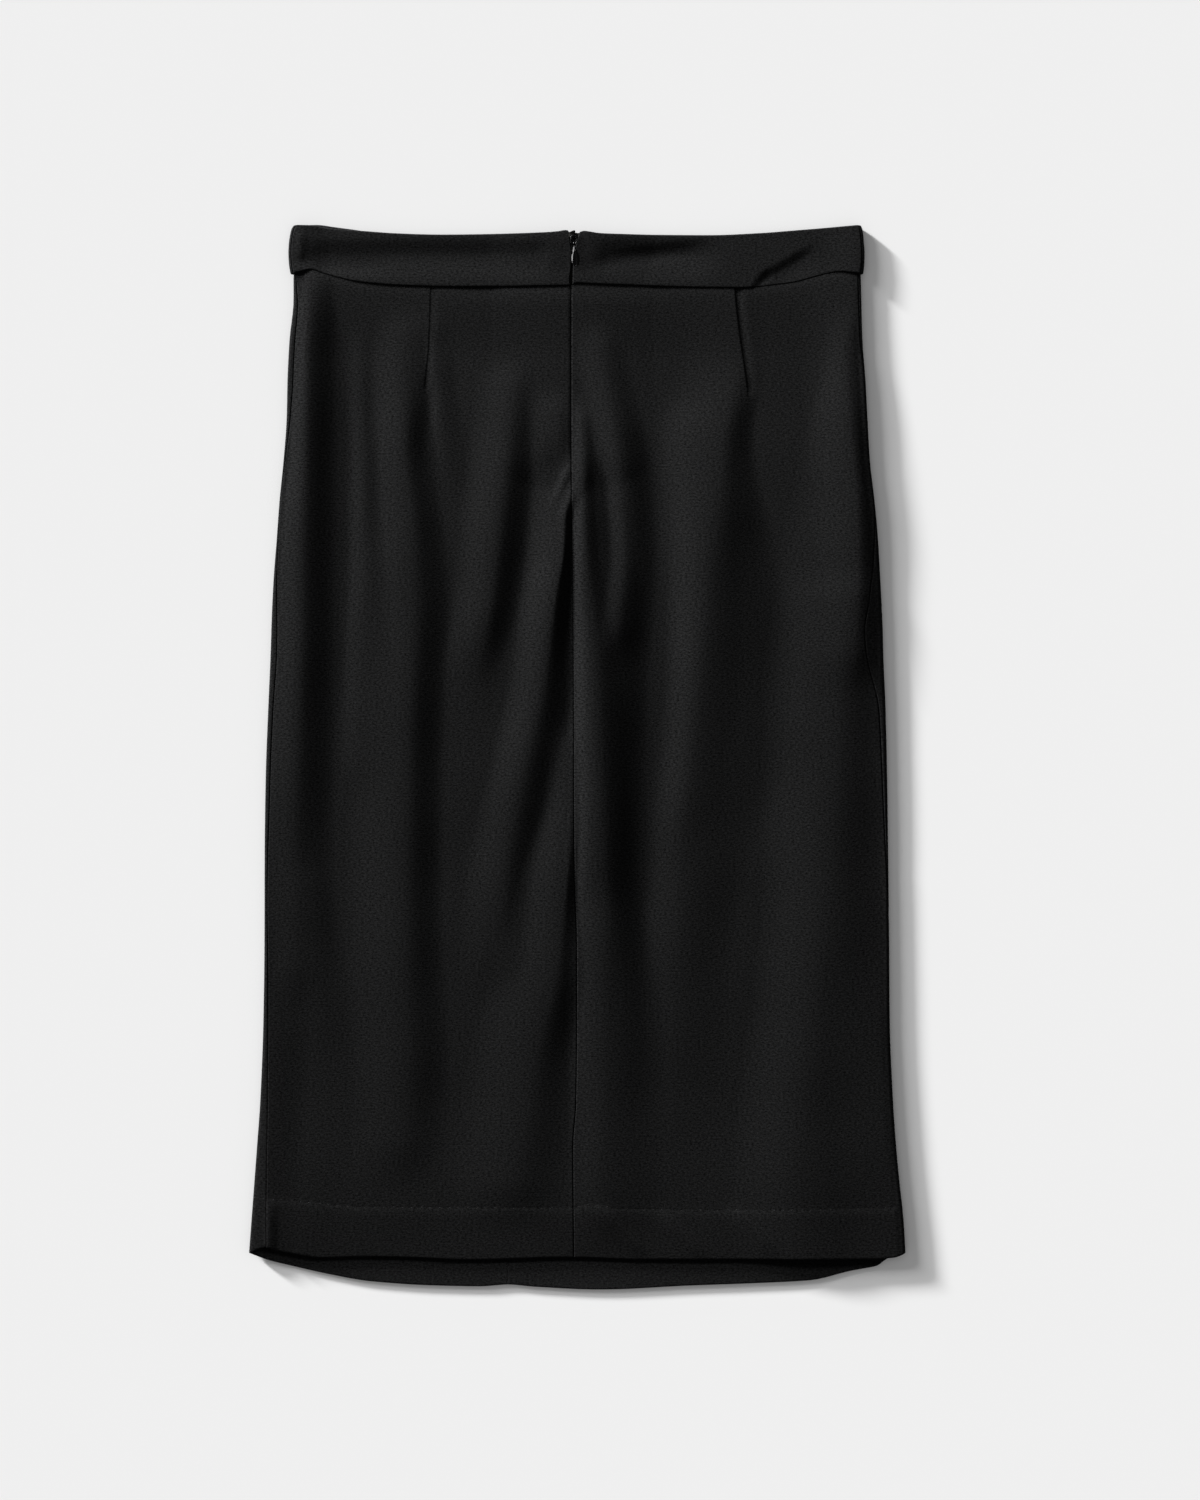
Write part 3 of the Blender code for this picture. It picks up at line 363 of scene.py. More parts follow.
# ---------------- curves and blends
class SmoothCurve:
    """Curve through pairs of station and value that never overshoots them, level beyond its ends.

    Between two stations, at a share t of the step h and with s = 1 - t, it is
    a s^2 (1 + 2t) + b t^2 (1 + 2s) + h s t (p s - q t), where a and b are the values and p and q
    the slopes at the two stations. A slope is the harmonic mean of its neighbouring slants.
    """

    def __init__(self, stations: Sequence[float], values: Sequence[float]) -> None:
        """Keep the pairs and work out the slopes.

        Args:
            stations: rising places at which the values hold.
            values: what the curve passes through there.
        """
        self.stations = np.array(stations, float)
        self.values = np.array(values, float)
        self.steps = np.diff(self.stations)
        slants = np.diff(self.values) / self.steps
        product = slants[:-1] * slants[1:]
        total = np.where(product > 0, slants[:-1] + slants[1:], 1.0)
        inner = np.where(product > 0, 2 * product / total, 0.0)
        self.slopes = np.concatenate([slants[:1], inner, slants[-1:]])

    def __call__(self, station: Array | float) -> Array:
        """Read the curve.

        Args:
            station: places of any shape.

        Returns:
            The curve's values there, in the same shape.
        """
        x = np.clip(station, self.stations[0], self.stations[-1])
        i = np.clip(np.searchsorted(self.stations, x, side="right") - 1, 0, len(self.steps) - 1)
        t = (x - self.stations[i]) / self.steps[i]
        s = 1 - t
        return (self.values[i] * s * s * (1 + 2 * t) + self.values[i + 1] * t * t * (1 + 2 * s)
                + self.steps[i] * s * t * (self.slopes[i] * s - self.slopes[i + 1] * t))


def column_curve(table: Iterable[NamedTuple], station: str, value: str) -> SmoothCurve:
    """Smooth curve of one named column of a table against another."""
    rows = list(table)
    return SmoothCurve([getattr(row, station) for row in rows], [getattr(row, value) for row in rows])


def even_curve(start: float, end: float, values: Sequence[float]) -> SmoothCurve:
    """Smooth curve through values at even steps from start to end."""
    return SmoothCurve(np.linspace(start, end, len(values)), values)


def side_curves(table: Iterable[NamedTuple]) -> dict[Side, SmoothCurve]:
    """The left and right columns of a table as curves of the level."""
    return {side: column_curve(table, "level", side.name.lower()) for side in Side}


def layer_curves(back: Iterable[Brim], front: Iterable[Brim]) -> dict[Layer, SmoothCurve]:
    """Level of an edge on the back and on the front, as curves of the place across."""
    return {layer: column_curve(table, "across", "level")
            for layer, table in ((Layer.BACK, back), (Layer.FRONT, front))}


def steady(value: float) -> Curve:
    """Curve that has the same value at every level."""
    return lambda level: np.full(np.shape(level), value)


def ease(t: Array | float) -> Array:
    """0 before 0, 1 after 1, and 3t^2 - 2t^3 in between, so that it is level at both ends."""
    t = np.clip(t, 0.0, 1.0)
    return t * t * (3 - 2 * t)


def mix(a: Array | float, b: Array | float, t: Array | float) -> Array:
    """a at t = 0 and b at t = 1."""
    return a + (b - a) * t


def round_drop(distance: Array, radius: Array | float) -> Array:
    """Drop of a rounded edge: r - sqrt(r^2 - (r - d)^2) at a distance d < r, and 0 beyond."""
    reach = np.maximum(radius - distance, 0.0)
    return radius - np.sqrt(np.maximum(radius * radius - reach * reach, 0.0))


def circle(steps: int) -> tuple[Array, Array]:
    """Cosines and sines of even steps round a full turn."""
    turn = 2 * pi * np.arange(steps) / steps
    return np.cos(turn), np.sin(turn)


def graded(total: float, fine: float, fine_reach: float, largest: float) -> Array:
    """Shares of a length for a grid that is fine at both ends.

    Args:
        total: the length, in millimetres.
        fine: cell size kept up to fine_reach from the start.
        fine_reach: how far the fine cells go.
        largest: cell size in the middle.

    Returns:
        Rising shares from 0 to 1.
    """
    first, growth = 0.06, 0.17
    places = [0.0]
    while places[-1] < total - first:
        place = places[-1]
        beyond = max(place - fine_reach, 0.0)
        places.append(place + min(first + growth * place, fine + growth * beyond, largest,
                                  first + growth * (total - place)))
    places[-1] = total
    return np.array(places) / total


def refined(shares: Array, total: float, span: tuple[float, float], step: float) -> Array:
    """Put even fine steps into a stretch of a grid.

    Args:
        shares: rising shares of the length.
        total: the length, in millimetres.
        span: where the fine steps start and end, in millimetres.
        step: their size.

    Returns:
        The shares, with those in the span replaced.
    """
    places = shares * total
    kept = places[(places < span[0] - step / 2) | (places > span[1] + step / 2)]
    fine = np.linspace(*span, int((span[1] - span[0]) / step) + 1)
    return np.sort(np.concatenate([kept, fine])) / total


# ---------------- relief of the cloth
class Relief:
    """Heights that folds, creases, darts and handling give to the upper layer."""

    def __init__(self) -> None:
        """Turn the tables into smooth curves once."""
        self.folds = [(fold, *(even_curve(fold.start, fold.end, values)
                               for values in (fold.crest, fold.height, fold.rise, fold.fall)))
                      for fold in FOLDS]
        self.darts = [(dart, column_curve(dart.line, "level", "across")) for dart in DARTS]

    def fold_heights(self, across: Array, level: Array) -> Array:
        """Sum over the folds of height times ease(1 - |distance from the crest| / flank).

        Args:
            across: places across the skirt.
            level: their levels.

        Returns:
            Heights, each fold faded at its upper and lower ends.
        """
        total = np.zeros(np.broadcast(across, level).shape)
        for fold, crest, height, rise, fall in self.folds:
            offset = across - crest(level)
            flank = np.where(offset < 0, rise(level), fall(level))
            fade = (ease((level - fold.start) / FOLD_START_FADE)
                    * ease((fold.end - level) / FOLD_END_FADE))
            total += fade * height(level) * ease(1 - np.abs(offset) / flank)
        return total

    @staticmethod
    def crease_heights(creases: Sequence[Crease], across: Array, level: Array) -> Array:
        """Sum over the creases of height times taper times ease(1 - |distance aside| / flank).

        The taper is an ease of the share run along the crease, from either end.

        Args:
            creases: rows of a table of creases.
            across: places across the skirt.
            level: their levels.

        Returns:
            Heights, negative in a trough.
        """
        total = np.zeros(np.broadcast(across, level).shape)
        for crease in creases:
            run = np.array([crease.end.across - crease.start.across,
                            crease.start.level - crease.end.level])
            length = float(np.hypot(*run))
            along = run / length
            x, y = across - crease.start.across, crease.start.level - level
            t = (x * along[0] + y * along[1]) / length
            aside = x * along[1] - y * along[0]
            flank = np.where(aside < 0, crease.near, crease.far)
            taper = ease(t / CREASE_TAPER) * ease((1 - t) / CREASE_TAPER)
            total += crease.height * taper * ease(1 - np.abs(aside) / flank)
        return total

    def dart_heights(self, across: Array, level: Array) -> Array:
        """Minus the depth of each sewn dart times ease(1 - |distance from its line| / width).

        Args:
            across: places across the skirt.
            level: their levels.

        Returns:
            Heights, none of them above 0, steep on the left of a dart and slower on its right.
        """
        total = np.zeros(np.broadcast(across, level).shape)
        for dart, line in self.darts:
            offset = across - line(level)
            width = np.where(offset < 0, dart.near, dart.far)
            fade = ease((dart.line[-1].level - level) / dart.fade)
            total -= dart.depth * ease(1 - np.abs(offset) / width) * fade
        return total

    @staticmethod
    def ripple(across: Array, level: Array) -> Array:
        """Faint unevenness of handled cloth: a few crossing sines of unlike lengths."""
        return sum(wave.height * np.sin(across / wave.across + level / wave.level + wave.phase)
                   for wave in RIPPLES)


@dataclass(frozen=True)
class SewnHem:
    """Relief of the turned-up hem and its blind stitches, in millimetres."""
    step_height: float = 0.30
    step_width: float = 9.0
    step_above: float = 0.35         # share of the step's width that lies above the sewn line
    line_depth: float = 0.05
    line_width: float = 1.2
    dip_depth: float = 0.22
    dip_width: float = 2.4
    drift: float = 0.1               # share of the pitch that the dips drift
    drift_length: float = 17.0
    even_share: float = 0.6          # part of the dips' depth that doesn't vary
    uneven_lengths: tuple[float, float] = (23.0, 9.1)
    uneven_phase: float = 1.0
    line: SmoothCurve = field(default_factory=lambda: column_curve(HEM_LINE, "across", "level"))

    def heights(self, across: Array, level: Array) -> Array:
        """Step up onto the turned hem, less a shallow sewn line and its uneven stitch dips.

        The step is an ease of the distance below the line. Along the line the dips follow the
        fourth power of (1 + cos) / 2, with one turn a stitch, times two slow crossing sines.

        Args:
            across: places across the skirt.
            level: their levels.

        Returns:
            Heights of the cloth there.
        """
        below = level - self.line(across)
        step = self.step_height * ease(below / self.step_width + self.step_above)
        groove = -self.line_depth * ease(1 - np.abs(below) / self.line_width)
        turns = across / STITCH_PITCH + self.drift * np.sin(across / self.drift_length)
        beat = 0.5 + 0.5 * np.cos(2 * pi * turns)
        slow, quick = self.uneven_lengths
        crossing = np.sin(across / slow + self.uneven_phase) * np.sin(across / quick)
        uneven = self.even_share + (1 - self.even_share) * crossing
        dips = -self.dip_depth * uneven * beat**4 * ease(1 - np.abs(below) / self.dip_width)
        return step + groove + dips


RELIEF = Relief()
HEM = SewnHem()


# ---------------- form of the flattened tube
@dataclass
class Tube:
    """A flattened tube of cloth: two layers joined by a rolled edge on either side.

    The tables give the outline and the rolls' height. The radius is the outside of a roll, and the
    upper layer comes down from the rolls to its rest within the two settle widths.
    """
    edges: tuple[Sides, ...]
    rolls: tuple[Sides, ...]
    radius: float
    left_settle: float
    right_settle: float
    zip_half_room: float = 12.0
    zip_settle: float = 75.0

    def __post_init__(self) -> None:
        """Turn the tables into curves of the level."""
        self.edge, self.roll = side_curves(self.edges), side_curves(self.rolls)
        self.zip_room = column_curve(ZIP_ROOMS, "level", "room")

    def zip_lift(self, across: Array, level: Array) -> Array:
        """Space that the zip asks for: even over its tape, easing away beside it."""
        beside = np.abs(across - ZIP_CENTRE) - self.zip_half_room
        return self.zip_room(level) * (1 - ease(beside / self.zip_settle))

    def resting(self, across: Array, level: Array) -> Array:
        """Outer height of the upper layer away from the rolls."""
        raise NotImplementedError

    def relief(self, across: Array, level: Array) -> Array:
        """Folds of the upper layer."""
        raise NotImplementedError

    def beside_rolls(self, across: Array, level: Array) -> tuple[Array, Array, Array]:
        """Look from a place to the nearer rolled edge.

        Args:
            across: places across the skirt.
            level: their levels.

        Returns:
            Whether it is the left edge, how far in from that roll's tangent the place lies, and
            the height of the roll's middle.
        """
        left = across - self.edge[Side.LEFT](level)
        right = self.edge[Side.RIGHT](level) - across
        is_left = left < right
        rolled = np.where(is_left, self.roll[Side.LEFT](level), self.roll[Side.RIGHT](level))
        return is_left, np.minimum(left, right) - self.radius, rolled

    def underside(self, across: Array, level: Array) -> Array:
        """Outer height of the lower layer: 0 on the surface, eased up beside the rolls."""
        _, inset, rolled = self.beside_rolls(across, level)
        return (rolled - self.radius) * (1 - ease(inset / LIFT_WIDTH))

    def top(self, across: Array, level: Array) -> Array:
        """Outer height of the upper layer, eased from the roll's top to its rest, with the folds.

        A lift L of the folds counts as M tanh(L / M), so that it stays under the most, M.

        Args:
            across: places across the skirt.
            level: their levels.

        Returns:
            Heights above the surface that the skirt lies on.
        """
        is_left, inset, rolled = self.beside_rolls(across, level)
        settle = np.where(is_left, self.left_settle, self.right_settle)
        base = mix(rolled + self.radius, self.resting(across, level), ease(inset / settle))
        lift = self.relief(across, level) * ease((inset + self.radius) / FOLD_EDGE_FADE)
        return base + MOST_LIFT * np.tanh(lift / MOST_LIFT)

    def around_at(self, inset: Array | float) -> Array:
        """Distance along the cloth from the outermost line to a place this far in from it.

        On the roll it is r arccos(1 - i / r) at an inset i, and beyond it i + r (pi / 2 - 1).

        Args:
            inset: distances in from the edge, negative for the lower layer.

        Returns:
            Distances along the cloth, with the same sign.
        """
        size = np.abs(inset)
        turn = np.arccos(np.clip(1 - size / self.radius, -1.0, 1.0))
        distance = np.where(size < self.radius, self.radius * turn, size + self.radius * (pi / 2 - 1))
        return np.where(np.asarray(inset) >= 0, distance, -distance)

    def point(self, side: Side, around: Array, level: Array) -> tuple[Array, Array]:
        """Find the outer face at a distance along the cloth.

        Within a quarter turn of the outermost line the cloth follows a circle: the edge minus
        r (1 - cos(a / r)) across and the roll's height plus r sin(a / r) up. Beyond, it lies flat.

        Args:
            side: the edge that the distance starts from.
            around: distances along the cloth, negative on the lower layer.
            level: their levels.

        Returns:
            Places across the skirt, and heights.
        """
        quarter = self.radius * pi / 2
        edge = self.edge[side](level)
        turn = around / self.radius
        rolled_across = edge - side.value * self.radius * (1 - np.cos(turn))
        rolled_height = self.roll[side](level) + self.radius * np.sin(turn)
        flat_across = edge - side.value * (self.radius + np.abs(around) - quarter)
        flat_height = np.where(around > 0, self.top(flat_across, level),
                               self.underside(flat_across, level))
        on_roll = np.abs(around) <= quarter
        return (np.where(on_roll, rolled_across, flat_across),
                np.where(on_roll, rolled_height, flat_height))


@dataclass
class SkirtTube(Tube):
    """The body of the skirt, from the waist seam to the hem.

    It is thicker from hem_start on. Beside the waist seam it is sunk by seam_sink within
    seam_reach, and fully so between the two runs of sunk_from and sunk_to.
    """
    hem_start: float = 585.0
    hem_run: float = 80.0
    seam_sink: float = 0.42
    seam_reach: float = 12.0
    sunk_from: float = -110.0
    sunk_from_run: float = 60.0
    sunk_to: float = 75.0
    sunk_to_run: float = 45.0

    def resting(self, across: Array, level: Array) -> Array:
        """Add up two walls, thicker at the waist and the hem, and the space between them.

        Args:
            across: places across the skirt.
            level: their levels.

        Returns:
            Outer heights of the upper layer, less where the waist seam pulls it in.
        """
        hem = 2 * (HEM_WALL - WALL) * ease((level - self.hem_start) / self.hem_run)
        waist = 2 * (BAND_WALL - WALL) * (1 - ease((level - WAIST_LEVEL) / WAIST_SETTLE))
        room = np.maximum(self.zip_lift(across, level), LAYER_ROOM)
        middle = (ease((across - self.sunk_from) / self.sunk_from_run)
                  * ease((self.sunk_to - across) / self.sunk_to_run))
        sunk = self.seam_sink * middle * (1 - ease((level - WAIST_LEVEL) / self.seam_reach))
        return 2 * WALL + hem + waist + room - sunk

    def relief(self, across: Array, level: Array) -> Array:
        """Long folds, puckers at the zip's end and drag lines in the hem."""
        return (RELIEF.fold_heights(across, level) + RELIEF.ripple(across, level)
                + RELIEF.crease_heights(PANEL_CREASES, across, level))


@dataclass
class BandTube(Tube):
    """The waistband, which sinks in along its middle between an upper and a lower level."""
    upper_level: float = 8.5
    hollow_level: float = 21.5
    lower_level: float = 41.0
    hollow_end: float = 74.0
    hollow_end_run: float = 30.0
    zip_stiffness: float = 0.6       # share of the hollow that the zip takes away
    zip_spread: float = 14.0
    ripple_share: float = 0.5

    def hollow(self, across: Array, level: Array) -> Array:
        """Depth of the hollow: two eases of the level, times one towards the right hip.

        Args:
            across: places across the skirt.
            level: their levels.

        Returns:
            Depths, less over the stiff zip.
        """
        beside = ease((np.abs(across - ZIP_CENTRE) - self.zip_half_room) / self.zip_spread)
        soft = ((1 - self.zip_stiffness * (1 - beside))
                * (1 - ease((across - self.hollow_end) / self.hollow_end_run)))
        above = (level - self.upper_level) / (self.hollow_level - self.upper_level)
        below = (self.lower_level - level) / (self.lower_level - self.hollow_level)
        return BAND_HOLLOW * soft * ease(above) * ease(below)

    def resting(self, across: Array, level: Array) -> Array:
        """Two folded walls and the space that the zip and its slider take, less the hollow."""
        room = np.maximum(self.zip_lift(across, level), BAND_ROOM)
        return 2 * BAND_WALL + room - self.hollow(across, level)

    def relief(self, across: Array, level: Array) -> Array:
        """Creases of the band, and its faint unevenness."""
        return (RELIEF.crease_heights(BAND_CREASES, across, level)
                + self.ripple_share * RELIEF.ripple(across, level))


SKIRT = SkirtTube(SKIRT_EDGES, SKIRT_ROLLS, SKIRT_ROLL_RADIUS, LEFT_SETTLE, RIGHT_SETTLE)
BAND = BandTube(BAND_EDGES, BAND_ROLLS, BAND_ROLL_RADIUS, BAND_SETTLE, BAND_SETTLE)


def to_frame(across: Array, level: Array, height: Array) -> Array:
    """Points of the frame, in metres, from millimetres across, down and up."""
    parts = np.broadcast_arrays(across, LAID_LENGTH / 2 - np.asarray(level), height)
    return np.stack(parts, axis=-1) * MM


# ---------------- meshes
SHARP_EDGE = 40.0            # edges that turn by more degrees than this stay sharp


def new_object(name: str, body: Body, material: bpy.types.Material,
               uv: Array | None = None) -> Piece:
    """Make a smooth mesh object at the origin.

    Args:
        name: name of the piece.
        body: its points in metres and its faces, which point outwards.
        material: finish of the whole piece.
        uv: place of each point on the flat cloth, in metres.

    Returns:
        The object, linked to the scene.
    """
    points, blocks = body
    mesh = bpy.data.meshes.new(name)
    mesh.from_pydata(points.reshape(-1, 3).tolist(), [],
                     [face for block in blocks for face in block.tolist()])
    mesh.shade_smooth()
    mesh.set_sharp_from_angle(angle=radians(SHARP_EDGE))
    if uv is not None:
        corners = np.empty(len(mesh.loops), np.int32)
        mesh.loops.foreach_get("vertex_index", corners)
        layer = mesh.uv_layers.new(name="cloth")
        layer.data.foreach_set("uv", uv.reshape(-1, 2)[corners].astype(np.float32).ravel())
    mesh.materials.append(material)
    piece = bpy.data.objects.new(name, mesh)
    bpy.context.scene.collection.objects.link(piece)
    return piece


def grid_normals(points: Array) -> Array:
    """Unit normals of a grid of points: the cross product of its two directions."""
    normals = np.cross(np.gradient(points, axis=0), np.gradient(points, axis=1))
    return normals / np.linalg.norm(normals, axis=-1, keepdims=True)


def grid_quads(columns: int, rows: int, loops: tuple[bool, bool] = (False, False)) -> Array:
    """Join the points of a grid whose point (c, r) has the number c times rows plus r.

    Args:
        columns: number of columns.
        rows: number of rows.
        loops: whether the last column joins the first one, and the last row the first one.

    Returns:
        Quads through (c, r), (c + 1, r), (c + 1, r + 1) and (c, r + 1).
    """
    c, r = (index.ravel() for index in np.meshgrid(
        np.arange(columns if loops[0] else columns - 1),
        np.arange(rows if loops[1] else rows - 1), indexing="ij"))
    next_c, next_r = (c + 1) % columns, (r + 1) % rows
    return np.stack([c * rows + r, next_c * rows + r, next_c * rows + next_r, c * rows + next_r],
                    axis=1)


def turned_over(quads: Array) -> Array:
    """The same quads facing the other way."""
    return quads[:, [0, 3, 2, 1]]


def closed_shell(outer: Array, inner: Array) -> Body:
    """Close the space between two faces of cloth with four rims.

    Args:
        outer: grid of points of shape (columns, rows, 3), whose quads point outwards.
        inner: grid of the same shape for the other face.

    Returns:
        The shell.
    """
    columns, rows, _ = outer.shape
    shift = columns * rows
    quads = grid_quads(columns, rows)
    across, along = np.arange(columns) * rows, np.arange(rows)
    last_row, last_column = rows - 1, (columns - 1) * rows
    rims = ((across[1:], across[:-1]), (across[:-1] + last_row, across[1:] + last_row),
            (along[:-1], along[1:]), (along[1:] + last_column, along[:-1] + last_column))
    blocks = [quads, turned_over(quads) + shift]
    blocks += [np.stack([a, b, b + shift, a + shift], axis=1) for a, b in rims]
    return np.concatenate([outer, inner]), blocks


def closed_loft(rings: Array) -> Body:
    """Close a loft of rings with a pole at either end.

    Args:
        rings: points of shape (rings, steps, 3), each ring anticlockwise seen from the last end.

    Returns:
        The body.
    """
    count, steps, _ = rings.shape
    points = np.concatenate([rings.reshape(-1, 3), rings[:1].mean(1), rings[-1:].mean(1)])
    ring, turned = np.arange(steps), (np.arange(steps) + 1) % steps
    first, last = np.full(steps, count * steps), np.full(steps, count * steps + 1)
    low = np.stack([turned, ring, first], axis=1)
    high = np.stack([ring, turned, last], axis=1)
    high[:, :2] += (count - 1) * steps
    return points, [turned_over(grid_quads(count, steps, (False, True))), low, high]


def closed_tube(path: Array, up: Array, reach: tuple[float, float], sides: int = 16) -> Body:
    """Carry an ellipse round a closed path.

    Args:
        path: points of shape (steps, 3), whose last one runs on to the first.
        up: direction that is square to the path everywhere.
        reach: half the ellipse's size outwards and along up.
        sides: points round the ellipse.

    Returns:
        The ring.
    """
    along = np.roll(path, -1, axis=0) - np.roll(path, 1, axis=0)
    along /= np.linalg.norm(along, axis=1, keepdims=True)
    outwards = np.cross(along, up)
    outward_share, up_share = circle(sides)
    points = (path[:, None] + reach[0] * outward_share[:, None] * outwards[:, None]
              + reach[1] * up_share[:, None] * up)
    return points.reshape(-1, 3), [grid_quads(len(path), sides, (True, True))]


def rounded_block(size: Point, centre: Point, power: float = 4.0, steps: int = 48,
                  levels: int = 14) -> Body:
    """Make a block with rounded sides and rims.

    A ring at the height share h has the outline |x|^p + |y|^p = 1 - |h|^p, stretched to the size,
    and h is the sine of an angle that grows evenly from the bottom to the top.

    Args:
        size: width, length and height.
        centre: its middle.
        power: p, which is 2 for an egg and grows towards a box.
        steps: points round a ring.
        levels: number of rings.

    Returns:
        The block.
    """
    cosine, sine = circle(steps)
    lift = np.sin(np.linspace(-0.5 * pi, 0.5 * pi, levels + 2)[1:-1])
    reach = (1 - np.abs(lift)**power)**(1 / power)
    flat = np.stack([np.sign(cosine) * np.abs(cosine)**(2 / power),
                     np.sign(sine) * np.abs(sine)**(2 / power)], axis=-1)
    upright = np.broadcast_to(lift[:, None, None], (levels, steps, 1))
    points, blocks = closed_loft(np.concatenate([reach[:, None, None] * flat[None], upright], axis=-1))
    return points * np.array(size) / 2 + np.array(centre), blocks


def joined(bodies: Iterable[Body]) -> Body:
    """Points and faces of several bodies as one.

    Args:
        bodies: the bodies, each with its own numbers.

    Returns:
        One body, in which the numbers of each next one run on.
    """
    points, blocks, shift = [], [], 0
    for body_points, body_blocks in bodies:
        points.append(body_points)
        blocks += [block + shift for block in body_blocks]
        shift += len(body_points)
    return np.concatenate(points), blocks


# ---------------- finishes
def new_material(name: str) -> tuple[bpy.types.Material, bpy.types.Node]:
    """Make a material with nodes.

    Args:
        name: its name.

    Returns:
        The material and its Principled shader.
    """
    material = bpy.data.materials.new(name)
    material.use_nodes = True
    return material, material.node_tree.nodes["Principled BSDF"]


class GrainGroup:
    """Node group of an uneven woven grain, read from the cloth's flat map in metres.

    A pebbled noise and a finer one make the grain, which gives the height. The tone is the grain
    spread about 1 by the depth, times a broad noise spread about 1 by the mottle.
    """
    inputs: dict[str, float] = {"Grains per metre": 900.0, "Stretch": 0.5, "Depth": 1.0,
                                "Mottle": 0.08}
    outputs: tuple[str, ...] = ("Height", "Tone")
    pebble_share: float = 0.65
    finer: float = 2.7               # grains of the finer noise for each pebble
    broader: float = 0.02            # and of the broad one
    darkest: float = 0.1

    def __init__(self) -> None:
        """Build the group once, with its named sockets."""
        self.tree = bpy.data.node_groups.new("woven_grain", "ShaderNodeTree")
        for label, value in self.inputs.items():
            socket = self.tree.interface.new_socket(label, in_out="INPUT",
                                                    socket_type="NodeSocketFloat")
            socket.default_value = value
        for label in self.outputs:
            self.tree.interface.new_socket(label, in_out="OUTPUT", socket_type="NodeSocketFloat")
        given = self.tree.nodes.new("NodeGroupInput").outputs
        made = self.tree.nodes.new("NodeGroupOutput").inputs
        flat = self.flat_place(given["Stretch"])
        grains = given["Grains per metre"]
        pebble = self.noise(flat, grains, detail=3.0, roughness=0.65)
        thread = self.noise(flat, self.scaled(grains, self.finer), detail=1.0, roughness=0.5)
        broad = self.noise(flat, self.scaled(grains, self.broader), detail=2.0, roughness=0.5)
        grain = self.maths("ADD", self.scaled(pebble, self.pebble_share),
                           self.scaled(thread, 1 - self.pebble_share))
        tone = self.maths("MULTIPLY", self.about_one(grain, given["Depth"]),
                          self.about_one(broad, given["Mottle"]))
        self.tree.links.new(grain, made["Height"])
        self.tree.links.new(self.maths("MAXIMUM", tone, self.darkest), made["Tone"])

    def flat_place(self, stretch: Socket) -> Socket:
        """Place on the flat cloth, stretched across it.

        Args:
            stretch: socket of the factor across.

        Returns:
            Socket of the stretched place.
        """
        place = self.tree.nodes.new("ShaderNodeUVMap")
        place.uv_map = "cloth"
        factors = self.tree.nodes.new("ShaderNodeCombineXYZ")
        factors.inputs["Y"].default_value = 1.0
        factors.inputs["Z"].default_value = 1.0
        self.tree.links.new(stretch, factors.inputs["X"])
        flat = self.tree.nodes.new("ShaderNodeVectorMath")
        flat.operation = "MULTIPLY"
        self.tree.links.new(place.outputs["UV"], flat.inputs[0])
        self.tree.links.new(factors.outputs["Vector"], flat.inputs[1])
        return flat.outputs["Vector"]

    def maths(self, operation: str, *terms: Socket | float) -> Socket:
        """Maths on sockets and plain numbers.

        Args:
            operation: what the node works out.
            terms: its inputs, in order.

        Returns:
            Socket of the result.
        """
        node = self.tree.nodes.new("ShaderNodeMath")
        node.operation = operation
        for socket, term in zip(node.inputs, terms):
            if isinstance(term, (int, float)):
                socket.default_value = term
            else:
                self.tree.links.new(term, socket)
        return node.outputs["Value"]

    def scaled(self, socket: Socket, factor: float) -> Socket:
        """A socket's value times a number."""
        return self.maths("MULTIPLY", socket, factor)

    def about_one(self, noise: Socket, spread: Socket) -> Socket:
        """1 plus the spread times what a noise has over a half."""
        return self.maths("MULTIPLY_ADD", noise, spread,
                          self.maths("MULTIPLY_ADD", spread, -0.5, 1.0))

    def noise(self, place: Socket, scale: Socket, detail: float, roughness: float) -> Socket:
        """Noise texture.

        Args:
            place: socket of where it is read.
            scale: socket of its lumps per metre.
            detail: how many finer noises are in it.
            roughness: their strength.

        Returns:
            Socket of a value about a half.
        """
        node = self.tree.nodes.new("ShaderNodeTexNoise")
        node.inputs["Detail"].default_value = detail
        node.inputs["Roughness"].default_value = roughness
        self.tree.links.new(place, node.inputs["Vector"])
        self.tree.links.new(scale, node.inputs["Scale"])
        return node.outputs["Fac"]


